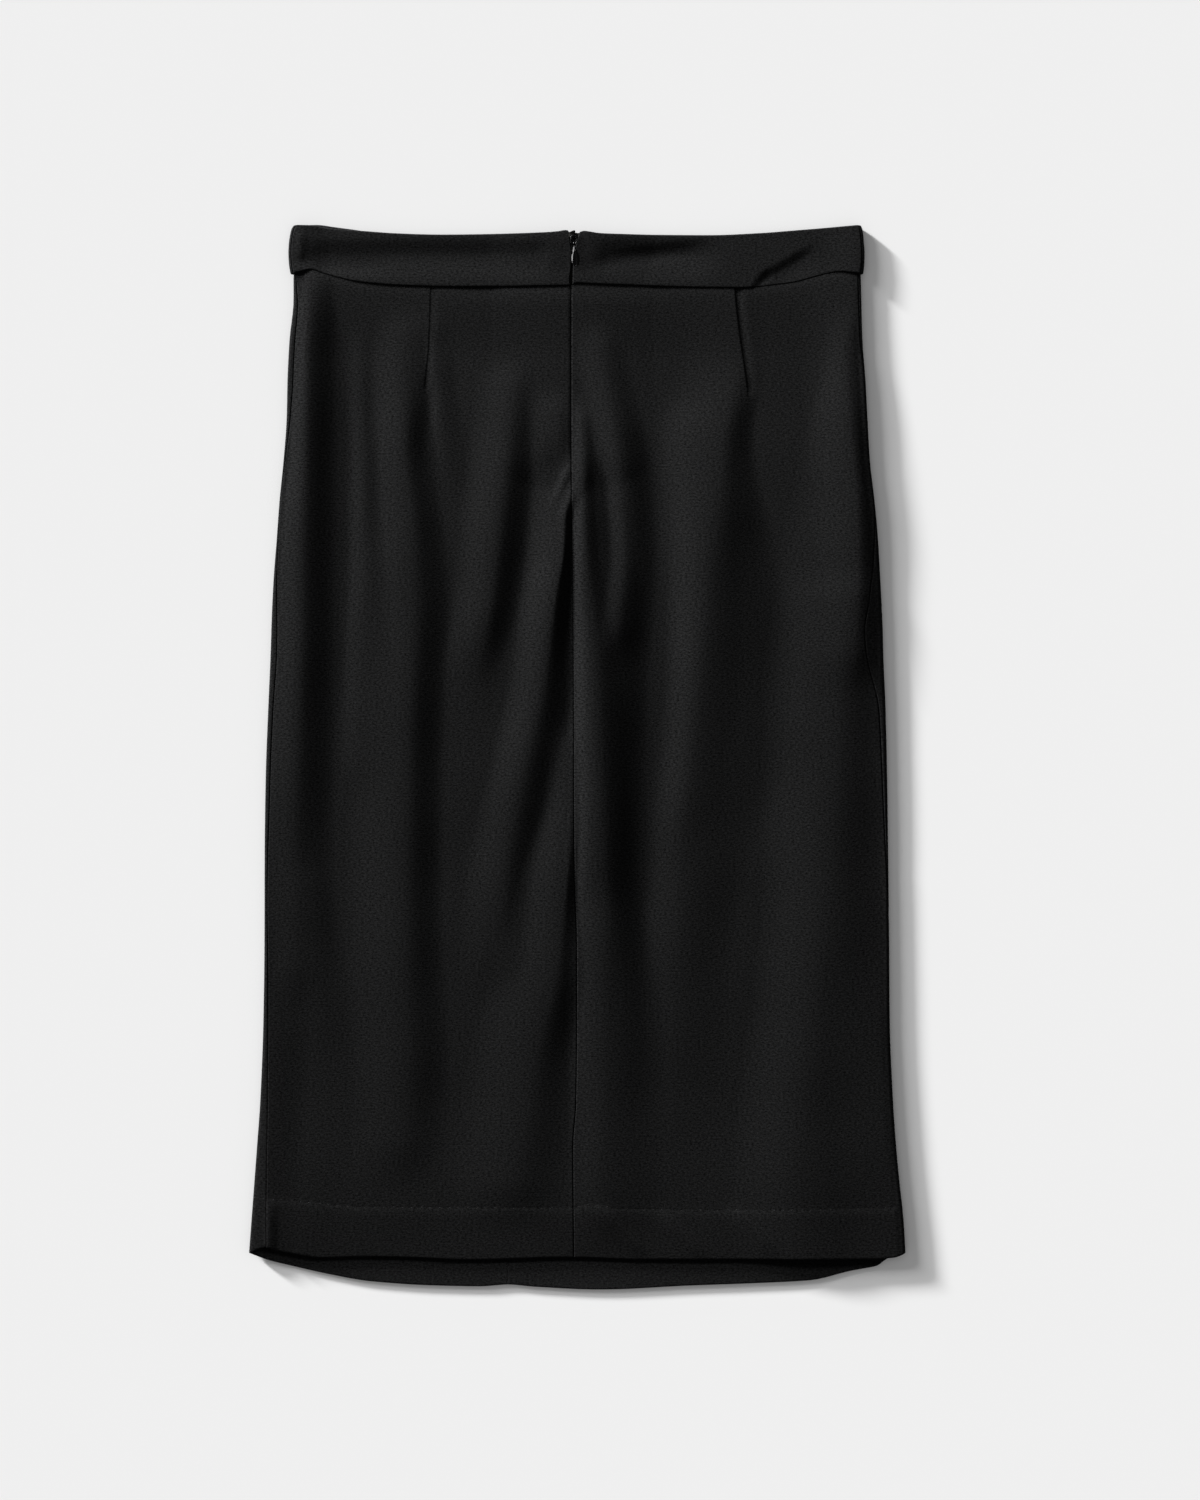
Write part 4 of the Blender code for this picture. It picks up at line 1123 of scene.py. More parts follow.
@dataclass(frozen=True)
class ClothFinish:
    """Matt woven cloth: a grain of tone and height over one colour."""
    name: str
    colour: Colour
    roughness: float
    specular: float
    grains: float            # grains per metre
    stretch: float           # their length across the cloth is divided by this
    depth: float             # how much the grain changes the tone
    mottle: float            # how much broad patches do
    bump: float              # the grain's height, in millimetres

    def make(self, grain: GrainGroup) -> bpy.types.Material:
        """Lead the grain to the colour and the bump.

        Args:
            grain: the shared node group.

        Returns:
            The material.
        """
        material, shader = new_material(self.name)
        tree = material.node_tree
        group = tree.nodes.new("ShaderNodeGroup")
        group.node_tree = grain.tree
        for label, value in zip(grain.inputs, (self.grains, self.stretch, self.depth, self.mottle)):
            group.inputs[label].default_value = value
        tone = tree.nodes.new("ShaderNodeVectorMath")
        tone.operation = "SCALE"
        tone.inputs[0].default_value = self.colour
        tree.links.new(group.outputs["Tone"], tone.inputs["Scale"])
        tree.links.new(tone.outputs["Vector"], shader.inputs["Base Color"])
        bump = tree.nodes.new("ShaderNodeBump")
        bump.inputs["Strength"].default_value = 1.0
        bump.inputs["Distance"].default_value = self.bump * MM
        tree.links.new(group.outputs["Height"], bump.inputs["Height"])
        tree.links.new(bump.outputs["Normal"], shader.inputs["Normal"])
        shader.inputs["Roughness"].default_value = self.roughness
        shader.inputs["Specular IOR Level"].default_value = self.specular
        return material


@dataclass(frozen=True)
class EnamelFinish:
    """Glossy black enamel on cast metal, with fine handling marks in its gloss."""
    name: str
    colour: Colour
    roughness: float
    marks: float             # how far the marks change the roughness, either way
    specular: float
    marks_per_metre: float = 900.0

    def make(self) -> bpy.types.Material:
        """Lead the marks to the roughness.

        Returns:
            The material.
        """
        material, shader = new_material(self.name)
        tree = material.node_tree
        place = tree.nodes.new("ShaderNodeTexCoord")
        noise = tree.nodes.new("ShaderNodeTexNoise")
        noise.inputs["Scale"].default_value = self.marks_per_metre
        noise.inputs["Detail"].default_value = 3.0
        tree.links.new(place.outputs["Object"], noise.inputs["Vector"])
        marks = tree.nodes.new("ShaderNodeMapRange")
        marks.inputs["To Min"].default_value = self.roughness - self.marks
        marks.inputs["To Max"].default_value = self.roughness + self.marks
        tree.links.new(noise.outputs["Fac"], marks.inputs["Value"])
        tree.links.new(marks.outputs["Result"], shader.inputs["Roughness"])
        shader.inputs["Base Color"].default_value = (*self.colour, 1.0)
        shader.inputs["Specular IOR Level"].default_value = self.specular
        return material


CREPE = ClothFinish("black_crepe", (0.0118, 0.0119, 0.0121), roughness=0.90, specular=0.04,
                    grains=920.0, stretch=0.6, depth=6.8, mottle=0.25, bump=0.12)
TAPE_CLOTH = ClothFinish("zip_tape_cloth", (0.020, 0.020, 0.018), roughness=0.8, specular=0.2,
                         grains=1800.0, stretch=1.6, depth=0.4, mottle=0.05, bump=0.06)
THREAD = ClothFinish("black_thread", (0.014, 0.014, 0.015), roughness=0.6, specular=0.4,
                     grains=3000.0, stretch=1.0, depth=0.3, mottle=0.0, bump=0.02)
ENAMEL = EnamelFinish("black_enamel", (0.0008, 0.0008, 0.0009), roughness=0.14, marks=0.03,
                      specular=0.2)


# ---------------- cloth shells
class Rim(Enum):
    """How an edge of a cut piece is finished."""
    SEAM = 1
    FOLDED = 2
    TUCKED = 3


@dataclass
class Patch:
    """Grid of a piece's outer face with what the edges and the cloth's thickness need."""
    side: Side
    around: Array
    across: Array
    level: Array
    height: Array
    from_seam: Array
    from_end: Array
    from_top: Array
    from_bottom: Array

    def turned(self) -> "Patch":
        """The same grid with its columns in reverse order."""
        return Patch(self.side, *(value[::-1] for value in self.grids()))

    def grids(self) -> list[Array]:
        """All the arrays, in the order of the fields."""
        return [self.around, self.across, self.level, self.height, self.from_seam, self.from_end,
                self.from_top, self.from_bottom]

    def flat_cut(self) -> tuple[float, float, float]:
        """Sum the widths of the flat piece over its length.

        Returns:
            Greatest width and length in metres, and area in square metres.
        """
        width = np.abs(self.around[0] - self.around[-1]) * MM
        length = -np.diff(self.level.mean(0)) * MM
        area = float(np.sum(0.5 * (width[1:] + width[:-1]) * length))
        return float(width.max()), float(np.ptp(self.level)) * MM, area


@dataclass(frozen=True)
class RowPlan:
    """Rows of a piece: fine at its edges, finer round the hem's stitched line, even elsewhere."""
    body_rows: int
    hem_steps: tuple[float, ...] = ()
    edge_steps: tuple[float, ...] = (0.0, 0.07, 0.28, 0.6, 1.0, 1.7, 2.8)

    def levels(self, top: Array, bottom: Array) -> Array:
        """Spread the rows over each column.

        Args:
            top: level of the upper edge on each column.
            bottom: level of the lower edge on each column.

        Returns:
            Levels of shape (columns, rows), from the lower edge up.
        """
        low = np.array(self.edge_steps + self.hem_steps)
        high = np.array(self.edge_steps)[::-1]
        lower = bottom[:, None] - low[None, :]
        upper = top[:, None] + high[None, :]
        share = np.linspace(0.0, 1.0, self.body_rows + 2)[None, 1:-1]
        body = mix(lower[:, -1:], upper[:, :1], share)
        return np.concatenate([lower, body, upper], axis=1)


@dataclass
class Cut:
    """A piece of the tube between its side seam and its inner end, on the back or the front."""
    tube: Tube
    side: Side
    layer: Layer
    seam_inset: Curve
    inner_end: Curve
    upper: dict[Layer, SmoothCurve]
    lower: dict[Layer, SmoothCurve]
    columns: Array
    rows: RowPlan
    drop: float = 0.0        # gap below the upper edge
    brim_rounds: int = 5     # steps in which the level of an edge is found

    def around(self, share: Array, level: Array) -> Array:
        """Distance along the cloth of a column.

        Args:
            share: 0 at the side seam and 1 at the inner end.
            level: the levels.

        Returns:
            Distances from the outermost line, negative on the front.
        """
        face = self.layer.value
        seam = self.tube.around_at(self.seam_inset(level)) + face * SEAM_GAP / 2
        reach = -self.side.value * (self.inner_end(level) - self.tube.edge[self.side](level))
        return mix(seam, face * self.tube.around_at(reach - SEAM_GAP / 2), share)

    def brim(self, curves: dict[Layer, SmoothCurve], guess: float) -> Array:
        """Level of an edge on each column, found by a few steps towards where they meet.

        Args:
            curves: the edge on the back and the front.
            guess: level to start from.

        Returns:
            One level for each column.
        """
        level = np.full(self.columns.shape, guess)
        for _ in range(self.brim_rounds):
            around = self.around(self.columns, level)
            across, _ = self.tube.point(self.side, around, level)
            level = np.where(around > 0, curves[Layer.BACK](across), curves[Layer.FRONT](across))
        return level

    def patch(self) -> Patch:
        """Lay the columns and rows on the tube.

        Returns:
            Grid of the outer face, ordered round the tube so that its normals point outwards.
        """
        top = self.brim(self.upper, WAIST_LEVEL) + self.drop
        bottom = self.brim(self.lower, LAID_LENGTH)
        level = self.rows.levels(top, bottom)
        share = np.broadcast_to(self.columns[:, None], level.shape)
        around = self.around(share, level)
        across, height = self.tube.point(self.side, around, level)
        from_seam = np.abs(around - self.around(np.zeros_like(share), level))
        from_end = np.abs(around - self.around(np.ones_like(share), level))
        patch = Patch(self.side, around, across, level, height, from_seam, from_end,
                      level - top[:, None], bottom[:, None] - level)
        starts_at_seam = (self.side is Side.LEFT) == (self.layer is Layer.BACK)
        return patch if starts_at_seam else patch.turned()


@dataclass
class ClothShell:
    """A cut piece as a thin closed shell, its edges rounded and its seams pulled in."""
    name: str
    patch: Patch
    wall: float
    hem_wall: float
    top_rim: Rim
    bottom_rim: Rim
    end_rim: Rim
    node: str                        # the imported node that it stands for
    seam_outer: float = 0.95         # radius on the outer face at a seam
    seam_outer_share: float = 0.9    # share of the round's drop
    seam_inner: float = 0.5
    seam_inner_share: float = 0.6
    tuck_depth: float = 0.2
    tuck_width: float = 4.0
    fold_share: float = 0.485        # radius of a folded edge, as a share of the wall
    hem_step: float = 1.5            # the wall thickens to the turned hem within this

    def walls(self) -> Array:
        """Thickness of the cloth: the hem's below the turned hem's upper edge."""
        beyond = HEM_DEPTH + self.hem_step - self.patch.from_bottom
        return mix(self.wall, self.hem_wall, ease(beyond / self.hem_step))

    def edge_drops(self, wall: Array) -> tuple[Array, Array]:
        """Find how far the outer and inner faces draw in at the edges.

        A seam rounds the outer face. An edge that is tucked under the next piece lies a little
        lower. A folded edge rounds both faces by half of the wall, so that they meet.

        Args:
            wall: thickness of the cloth.

        Returns:
            Depths on the outer face and on the inner one.
        """
        patch = self.patch
        outer, inner = np.zeros(wall.shape), np.zeros(wall.shape)
        rims = ((patch.from_seam, Rim.SEAM), (patch.from_end, self.end_rim),
                (patch.from_top, self.top_rim), (patch.from_bottom, self.bottom_rim))
        for distance, rim in rims:
            if rim is Rim.SEAM:
                drop = self.seam_outer_share * round_drop(distance, self.seam_outer)
                inner_drop = self.seam_inner_share * round_drop(distance, self.seam_inner)
            elif rim is Rim.TUCKED:
                drop, inner_drop = self.tuck_depth * (1 - ease(distance / self.tuck_width)), 0.0
            else:
                drop = inner_drop = round_drop(distance, self.fold_share * wall)
            outer, inner = np.maximum(outer, drop), np.maximum(inner, inner_drop)
        return outer, inner

    def detail(self) -> Array:
        """Fine relief along the normal, on the upper layer only."""
        return np.zeros(self.patch.level.shape)

    def build(self, material: bpy.types.Material) -> Piece:
        """Each face is the tube's outer face moved along its normal: by the detail less the drop for
        the outer one, and down by the wall less its own drop for the inner one.

        Args:
            material: the cloth's finish.

        Returns:
            The piece.
        """
        patch, wall = self.patch, self.walls()
        points = to_frame(patch.across, patch.level, patch.height)
        normals = grid_normals(points)
        outer_drop, inner_drop = self.edge_drops(wall)
        inner = points - (wall - inner_drop)[..., None] * MM * normals
        outer = points + (self.detail() - outer_drop)[..., None] * MM * normals
        flat = np.stack([patch.around * patch.side.value, -patch.level], axis=-1) * MM
        piece = new_object(self.name, closed_shell(outer, inner), material,
                           np.concatenate([flat, flat]))
        width, length, area = patch.flat_cut()
        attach(piece, SKIRT_BODY)
        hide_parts(self.node)
        LOG.info("%s: cut %.3f by %.3f m, %.4f m2", self.name, width, length, area)
        return piece


@dataclass
class BackPanel(ClothShell):
    """A back panel, with its dart, its half of the centre seam and the blind-stitched hem.

    Beside the seam the right panel stands proud between its upper and lower runs, sloping down to
    the seam within the last stretch, and the left panel dips beside the zip.
    """
    roll_clear: float = 3.6          # the detail grows from this far round the roll
    roll_run: float = 4.0
    proud: float = 0.9
    proud_width: float = 6.0
    proud_run: float = 22.0
    proud_from: float = 165.0
    proud_from_run: float = 45.0
    proud_to: float = 610.0
    proud_to_run: float = 80.0
    slope_depth: float = 0.5
    slope_width: float = 8.5
    dip_depth: float = 0.3
    dip_width: float = 2.4
    dip_to: float = 172.0
    dip_to_run: float = 14.0

    def seam_heights(self) -> Array:
        """Work out the heights beside the centre seam, as the class says, all by eases.

        Returns:
            Heights along the normal.
        """
        level, beside = self.patch.level, self.patch.from_end
        if self.patch.side is Side.LEFT:
            return (-self.dip_depth * (1 - ease(beside / self.dip_width))
                    * ease((self.dip_to - level) / self.dip_to_run))
        reach = (ease((level - self.proud_from) / self.proud_from_run)
                 * ease((self.proud_to - level) / self.proud_to_run))
        slope = self.slope_depth * (1 - np.clip(beside / self.slope_width, 0.0, 1.0))**2
        proud = self.proud * (1 - ease((beside - self.proud_width) / self.proud_run))
        return (proud - slope) * reach

    def detail(self) -> Array:
        """Add up the dart, the hem's stitching and the centre seam, on the upper layer only.

        Returns:
            Heights along the normal.
        """
        across, level = self.patch.across, self.patch.level
        on_top = ease((self.patch.around - self.roll_clear) / self.roll_run)
        return on_top * (RELIEF.dart_heights(across, level) + HEM.heights(across, level)
                         + self.seam_heights())


@dataclass
class SkirtPanels:
    """The four panels of the skirt: how fine their grids are, in millimetres and rows."""
    half_width: float = 210.0
    edge_cell: float = 0.6
    back_cell: float = 1.7
    front_cell: float = 4.0
    dart_cell: float = 0.4
    back_rows: int = 206
    front_rows: int = 104
    fine_reach: dict[Side, float] = field(default_factory=lambda: {Side.LEFT: 5.0, Side.RIGHT: 13.0})
    front_fine_reach: float = 19.0
    dart_spans: dict[Side, tuple[float, float]] = field(
        default_factory=lambda: {Side.LEFT: (99.0, 105.5), Side.RIGHT: (80.5, 93.0)})
    hem_steps: tuple[float, ...] = (
        4.5, 7.0, 10.0, 13.0, 16.0, 19.0, 22.0, 25.0, 27.5, 29.5, 31.0, 32.0, 32.8, 33.4, 34.0,
        34.6, 35.2, 36.0, 37.0, 38.5, 41.0)

    def cut(self, side: Side, layer: Layer) -> Cut:
        """Place one panel on the tube, with its grid.

        Args:
            side: left or right.
            layer: back or front.

        Returns:
            The cut.
        """
        if layer is Layer.BACK:
            coarse = graded(self.half_width, self.edge_cell, self.fine_reach[side], self.back_cell)
            columns = refined(coarse, self.half_width, self.dart_spans[side], self.dart_cell)
            inner_end = column_curve(CENTRE_BACK, "level", "across")
            rows = RowPlan(self.back_rows, self.hem_steps)
        else:
            columns = graded(self.half_width, self.edge_cell, self.front_fine_reach, self.front_cell)
            inner_end = steady(FRONT_SEAM)
            rows = RowPlan(self.front_rows, self.hem_steps)
        return Cut(SKIRT, side, layer, side_curves(SIDE_SEAMS)[side], inner_end,
                   layer_curves(BACK_WAIST_SEAM, FRONT_WAIST_SEAM), layer_curves(BACK_HEM, FRONT_HEM),
                   columns, rows, SEAM_GAP)

    def build(self, crepe: bpy.types.Material) -> list[Piece]:
        """Lay the two front panels below and the two back panels above.

        Args:
            crepe: the cloth's finish.

        Returns:
            The front panels, then the back panels.
        """
        made = []
        for layer, kind in ((Layer.FRONT, ClothShell), (Layer.BACK, BackPanel)):
            for side in Side:
                word = f"{layer.name.lower()}_{side.name.lower()}"
                panel = kind(f"{word}_panel", self.cut(side, layer).patch(), WALL, HEM_WALL,
                             Rim.TUCKED, Rim.FOLDED, Rim.SEAM, word)
                made.append(panel.build(crepe))
        return made


@dataclass
class Waistband:
    """The folded waistband: two back pieces that meet at the zip, and one front piece."""
    half_width: float = 200.0
    edge_cell: float = 0.6
    cell: float = 1.6
    fine_reach: float = 9.0
    rows: int = 24

    def cut(self, side: Side, layer: Layer) -> Cut:
        """Place one half on the tube, with its grid.

        Args:
            side: left or right.
            layer: back or front.

        Returns:
            The cut.
        """
        if layer is Layer.FRONT:
            inner_end = steady(-side.value * SEAM_GAP / 2)
        else:
            table = BAND_LEFT_END if side is Side.LEFT else BAND_RIGHT_END
            inner_end = column_curve(table, "level", "across")
        return Cut(BAND, side, layer, steady(BAND_SEAM_INSET), inner_end,
                   layer_curves(BACK_BAND_TOP, FRONT_BAND_TOP),
                   layer_curves(BACK_WAIST_SEAM, FRONT_WAIST_SEAM),
                   graded(self.half_width, self.edge_cell, self.fine_reach, self.cell),
                   RowPlan(self.rows))

    def front_patch(self) -> Patch:
        """Join the halves of the front piece, which share their middle column.

        Returns:
            The right half's grid with the left half's after it.
        """
        right, left = (self.cut(side, Layer.FRONT).patch() for side in (Side.RIGHT, Side.LEFT))
        around = np.concatenate([right.around - right.around[-1:],
                                 (left.around[:1] - left.around)[1:]])
        rest = [np.concatenate([a, b[1:]]) for a, b in zip(right.grids()[1:], left.grids()[1:])]
        return Patch(Side.RIGHT, around, *rest)

    def build(self, crepe: bpy.types.Material) -> list[Piece]:
        """Fold the three pieces round the top of the skirt.

        Args:
            crepe: the cloth's finish.

        Returns:
            The left and right back pieces, then the front one.
        """
        patches = {f"waistband_back_{side.name.lower()}": (self.cut(side, Layer.BACK).patch(),
                                                           Rim.FOLDED) for side in Side}
        patches["waistband_front"] = (self.front_patch(), Rim.SEAM)
        return [ClothShell(f"{word}_piece", patch, BAND_CLOTH, BAND_CLOTH, Rim.FOLDED, Rim.SEAM,
                           end_rim, word).build(crepe)
                for word, (patch, end_rim) in patches.items()]


# ---------------- zip and stitches
def at_hinge(points: Array) -> Array:
    """Turn points by the pull's lean and move them to its hinge.

    Args:
        points: in millimetres from the hinge, as for a pull that hangs straight down.

    Returns:
        The points in the frame, in metres.
    """
    turn = radians(PULL_LEAN)
    x, y, z = np.moveaxis(np.asarray(points, float), -1, 0)
    return HINGE + MM * np.stack([x * cos(turn) - y * sin(turn), x * sin(turn) + y * cos(turn), z],
                                 axis=-1)


@dataclass
class ZipTape:
    """The zip's tape under the seam, the coil below it, and the tip that looks out at the waist."""
    bottom: float = 158.0
    below_brim: float = 0.2
    width: float = 24.0
    wall: float = 0.45
    wall_run: float = 12.0           # the cloth above changes from band to panel within this
    slider_level: float = 17.0
    slider_run: float = 10.0
    columns: int = 33
    rows: int = 120
    coil_start: float = 21.0
    coil_end_gap: float = 8.0
    coil_pitch: float = 1.15
    coil_radii: tuple[float, float] = (0.95, 0.38)
    coil_apart: float = 0.62         # share of the wide radius that a row stands off the middle
    wire: float = 0.16
    steps_a_turn: int = 12
    wire_sides: int = 5
    tip_size: Point = (4.4, 4.0, 0.55)
    tip_centre: Point = (-0.9, 7.1, -0.9)
    tip_slant: float = 0.3
    tip_flat_to: float = 6.0
    tip_curl: tuple[float, float] = (0.05, 0.10)

    def face_height(self, across: Array, level: Array) -> Array:
        """Find the upper face of the tape: under the cloth, and lower under the slider's plate.

        Args:
            across: places across the skirt.
            level: their levels.

        Returns:
            Heights.
        """
        beyond = ease((level - self.slider_level) / self.slider_run)
        under_slider = (SLIDER_PLATE[2] + ZIP_CLEARANCE) * (1 - beyond)
        wall = mix(BAND_WALL, WALL, ease((level - WAIST_LEVEL) / self.wall_run))
        top = np.where(level < WAIST_LEVEL, BAND.top(across, level), SKIRT.top(across, level))
        return top - wall - ZIP_CLEARANCE - under_slider

    def tape(self, cloth: bpy.types.Material) -> Piece:
        """Lay the flat strip from the waist to below the end of the opening.

        Args:
            cloth: the tape's finish.

        Returns:
            The strip.
        """
        brim = column_curve(BACK_BAND_TOP, "across", "level")
        across, share = np.meshgrid(ZIP_CENTRE + self.width * np.linspace(-0.5, 0.5, self.columns),
                                    np.linspace(0.0, 1.0, self.rows), indexing="ij")
        level = mix(self.bottom, brim(across) + self.below_brim, share)
        face = to_frame(across, level, self.face_height(across, level))
        flat = np.stack([across, -level], axis=-1) * MM
        piece = new_object("zip_tape_strip", closed_shell(face, face - self.wall * MM * UPWARDS),
                           cloth, np.concatenate([flat, flat]))
        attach(piece, SKIRT_BODY)
        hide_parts("zip_tape")
        return piece

    def coil(self, thread: bpy.types.Material) -> Piece:
        """Wind two rows of coil under the tape.

        Each row is a helix: across = middle + a cos(t), height = middle + b sin(t), and the level
        grows by one pitch a turn. The second row runs half a pitch later, so that they mesh.

        Args:
            thread: the coil's finish.

        Returns:
            Both rows as one piece.
        """
        turns = int((self.bottom - self.coil_end_gap - self.coil_start) / self.coil_pitch)
        t = np.linspace(0.0, 2 * pi * turns, self.steps_a_turn * turns)
        wide, thick = self.coil_radii
        cosine, sine = (value[:, None] for value in circle(self.wire_sides))
        rows = []
        for sign, later in ((-1, 0.0), (1, 0.5)):
            level = self.coil_start + self.coil_pitch * (t / (2 * pi) + later)
            across = ZIP_CENTRE + sign * (self.coil_apart * wide + wide * np.cos(t))
            tape_back = self.face_height(np.full_like(level, ZIP_CENTRE), level) - self.wall
            path = to_frame(across, level, tape_back - thick - self.wire + thick * np.sin(t))
            along = np.gradient(path, axis=0)
            along /= np.linalg.norm(along, axis=1, keepdims=True)
            first = np.cross(along, np.array([0.0, 1.0, 0.0]))
            first /= np.linalg.norm(first, axis=1, keepdims=True)
            second = np.cross(along, first)
            rows.append(closed_loft(path[:, None] + self.wire * MM * (cosine * first[:, None]
                                                                      + sine * second[:, None])))
        body = joined(rows)
        piece = new_object("zip_coil", body, thread, body[0][:, :2])
        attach(piece, SKIRT_BODY)
        return piece

    def tip(self, cloth: bpy.types.Material) -> Piece:
        """Bend up the end of the tape that looks out of the notch above the slider.

        A flat block is slanted by a share of its own x, and curls up and aside by the square of the
        distance past its flat part.

        Args:
            cloth: the tape's finish.

        Returns:
            The tip.
        """
        points, blocks = rounded_block(self.tip_size, self.tip_centre, power=3.0, steps=28, levels=8)
        points[:, 1] += self.tip_slant * points[:, 0]
        past = np.clip(points[:, 1] - self.tip_flat_to, 0.0, None)
        points[:, 2] += self.tip_curl[1] * past**2
        points[:, 0] += self.tip_curl[0] * past**2
        placed = at_hinge(points)
        piece = new_object("zip_tape_tip", (placed, blocks), cloth, placed[:, :2])
        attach(piece, SKIRT_BODY)
        return piece


@dataclass
class ZipSlider:
    """The slider: a plate under the waistband, a stem up through the notch, and a wire loop."""
    loop_width: float = 3.8
    loop_length: float = 5.2
    loop_corner: float = 1.3
    loop_squareness: float = 2.2
    loop_rise: float = 0.35
    loop_wire: tuple[float, float] = (0.5, 0.45)    # half its width and half its height
    loop_steps: int = 72
    stem: tuple[float, float] = (1.6, 1.8)
    stem_overlap: float = 0.5
    plate_behind: float = 0.6        # of the plate, past the hinge
    plate_power: float = 5.0

    def loop_path(self) -> Array:
        """Work out the rounded rectangle that the loop follows, its lower side on the hinge.

        It is a square's outline, the clipped heading times the half size, pushed out by the corner
        radius along the heading, and it rises by an ease towards its far side.

        Returns:
            Points of shape (steps, 3), in millimetres from the hinge.
        """
        heading = np.stack(circle(self.loop_steps), axis=-1)
        corner = np.array([self.loop_width / 2 - self.loop_corner,
                           self.loop_length / 2 - self.loop_corner])
        spread = np.clip(heading * self.loop_squareness, -1.0, 1.0)
        flat = spread * corner + self.loop_corner * heading + np.array([0.0, self.loop_length / 2])
        rise = self.loop_rise * ease(flat[:, 1:] / self.loop_length)
        return np.concatenate([flat, rise], axis=1)

    def build(self, enamel: bpy.types.Material) -> Piece:
        """Make the three bodies as one piece.

        Args:
            enamel: the metal's finish.

        Returns:
            The slider.
        """
        plate_top = -(EYE_RADIUS + BAND_WALL + 2 * ZIP_CLEARANCE)
        width, length, thickness = SLIDER_PLATE
        stem_along = self.loop_length - self.stem[1] / 2 + self.loop_wire[0] / 2
        stem_height = -plate_top + thickness / 2
        body = joined([
            closed_tube(self.loop_path(), UPWARDS, self.loop_wire),
            rounded_block((*self.stem, stem_height + self.stem_overlap),
                          (0.0, stem_along, (self.stem_overlap - stem_height) / 2)),
            rounded_block(SLIDER_PLATE, (0.0, length / 2 - self.plate_behind,
                                         plate_top - thickness / 2), self.plate_power)])
        piece = new_object("zip_slider_body", (at_hinge(body[0]), body[1]), enamel)
        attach(piece, SKIRT_BODY)
        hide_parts("zip_slider")
        return piece


@dataclass
class ZipPull:
    """Teardrop pull that hangs from the loop by its eye."""
    length: float = 15.1
    width: float = 6.1
    thickness: float = 1.2
    start: float = 0.95              # distance of its upper end below the hinge
    widest: float = 0.62             # share of the length
    tip_power: float = 2.5
    rim_power: int = 20
    bevel: float = 1.4
    bevel_slope: float = 0.25
    narrow_share: float = 0.25       # least share of the half width that stays flat
    chamfer: float = 0.5
    chamfer_slope: float = 0.5
    hollow: float = 0.06
    neck_fade: float = 0.14          # the bevel grows within this share of the length
    tip_fade: float = 0.25           # and shrinks within this one past the widest place
    tip_shrink: float = 0.8
    thinning: float = 3.0            # the thickness shrinks where the width is under 1 / this
    rings: int = 64
    last_ring: float = 0.995         # of the even steps of the cosine that spaces the rings
    steps: int = 72
    eye_steps: int = 40

    def half_widths(self, share: Array) -> Array:
        """Half width along the pull.

        It eases from the neck to the widest place, and then follows (1 - u^2.5)^0.4 down to the
        tip, where u is the share run past the widest place.

        Args:
            share: shares of the length from the neck.

        Returns:
            Half widths.
        """
        full = self.width / 2
        grown = mix(EYE_WIDTH / 2, full, ease(share / self.widest))
        past = np.clip((share - self.widest) / (1 - self.widest), 0.0, 1.0)
        return np.where(share < self.widest, grown,
                        full * (1 - past**self.tip_power)**(1 / self.tip_power))

    def teardrop(self) -> Body:
        """Loft the drop along its length.

        Across it, at the share c of the half width, its faces are sqrt(1 - c^20) high. The upper
        one drops evenly within a bevel beside the rim and once more within a chamfer, and sinks in
        a little between the bevels, as a squared cosine.

        Returns:
            The drop, in millimetres from the hinge.
        """
        share = (1 - np.cos(np.linspace(0.0, self.last_ring, self.rings) * pi)) / 2
        half = self.half_widths(share)
        side, up = circle(self.steps)
        rim = np.sqrt(np.clip(1 - np.abs(side)**self.rim_power, 0.0, 1.0))
        face = np.where(up >= 0, rim, -rim)[None, :]
        fullness = np.clip(half / (self.width / 2) * self.thinning, 0.0, 1.0)
        x = half[:, None] * side[None, :]
        y = np.broadcast_to(-(self.start + (self.length - self.start) * share)[:, None], x.shape)
        flat_half = np.maximum(half - self.bevel, self.narrow_share * half)[:, None]
        beyond = np.clip(np.abs(x) - flat_half, 0.0, None)
        sunk = self.hollow * np.cos(0.5 * pi * np.clip(x / flat_half, -1.0, 1.0))**2
        ends = (ease(share / self.neck_fade)
                * (1 - self.tip_shrink * ease((share - self.widest) / self.tip_fade)))
        bevelled = self.bevel_slope * ends[:, None] * beyond
        chamfered = self.chamfer_slope * np.clip(beyond - self.bevel + self.chamfer, 0.0, None)
        lowered = np.where(up >= 0, bevelled + chamfered + sunk, 0.0)
        thick = self.thickness / 2 * np.sqrt(fullness)[:, None]
        z = thick * face - lowered + self.thickness / 2 - EYE_RADIUS
        return closed_loft(np.stack([x, y, z], axis=-1))

    def eye(self) -> Body:
        """Carry an ellipse round the circle of the eye, which lies across the hinge.

        Returns:
            The eye, in millimetres from the hinge.
        """
        middle = (EYE_BORE + EYE_RADIUS) / 2
        cosine, sine = circle(self.eye_steps)
        path = middle * np.stack([np.zeros(self.eye_steps), cosine, sine], axis=-1)
        return closed_tube(path, np.array([1.0, 0.0, 0.0]),
                           ((EYE_RADIUS - EYE_BORE) / 2, EYE_WIDTH / 2))

    def build(self, enamel: bpy.types.Material) -> Piece:
        """Make the drop and its eye as one piece.

        Args:
            enamel: the metal's finish.

        Returns:
            The pull.
        """
        points, blocks = joined([self.teardrop(), self.eye()])
        piece = new_object("zip_pull_drop", (at_hinge(points), blocks), enamel)
        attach(piece, PULL_BODY)
        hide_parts("zip_pull")
        return piece


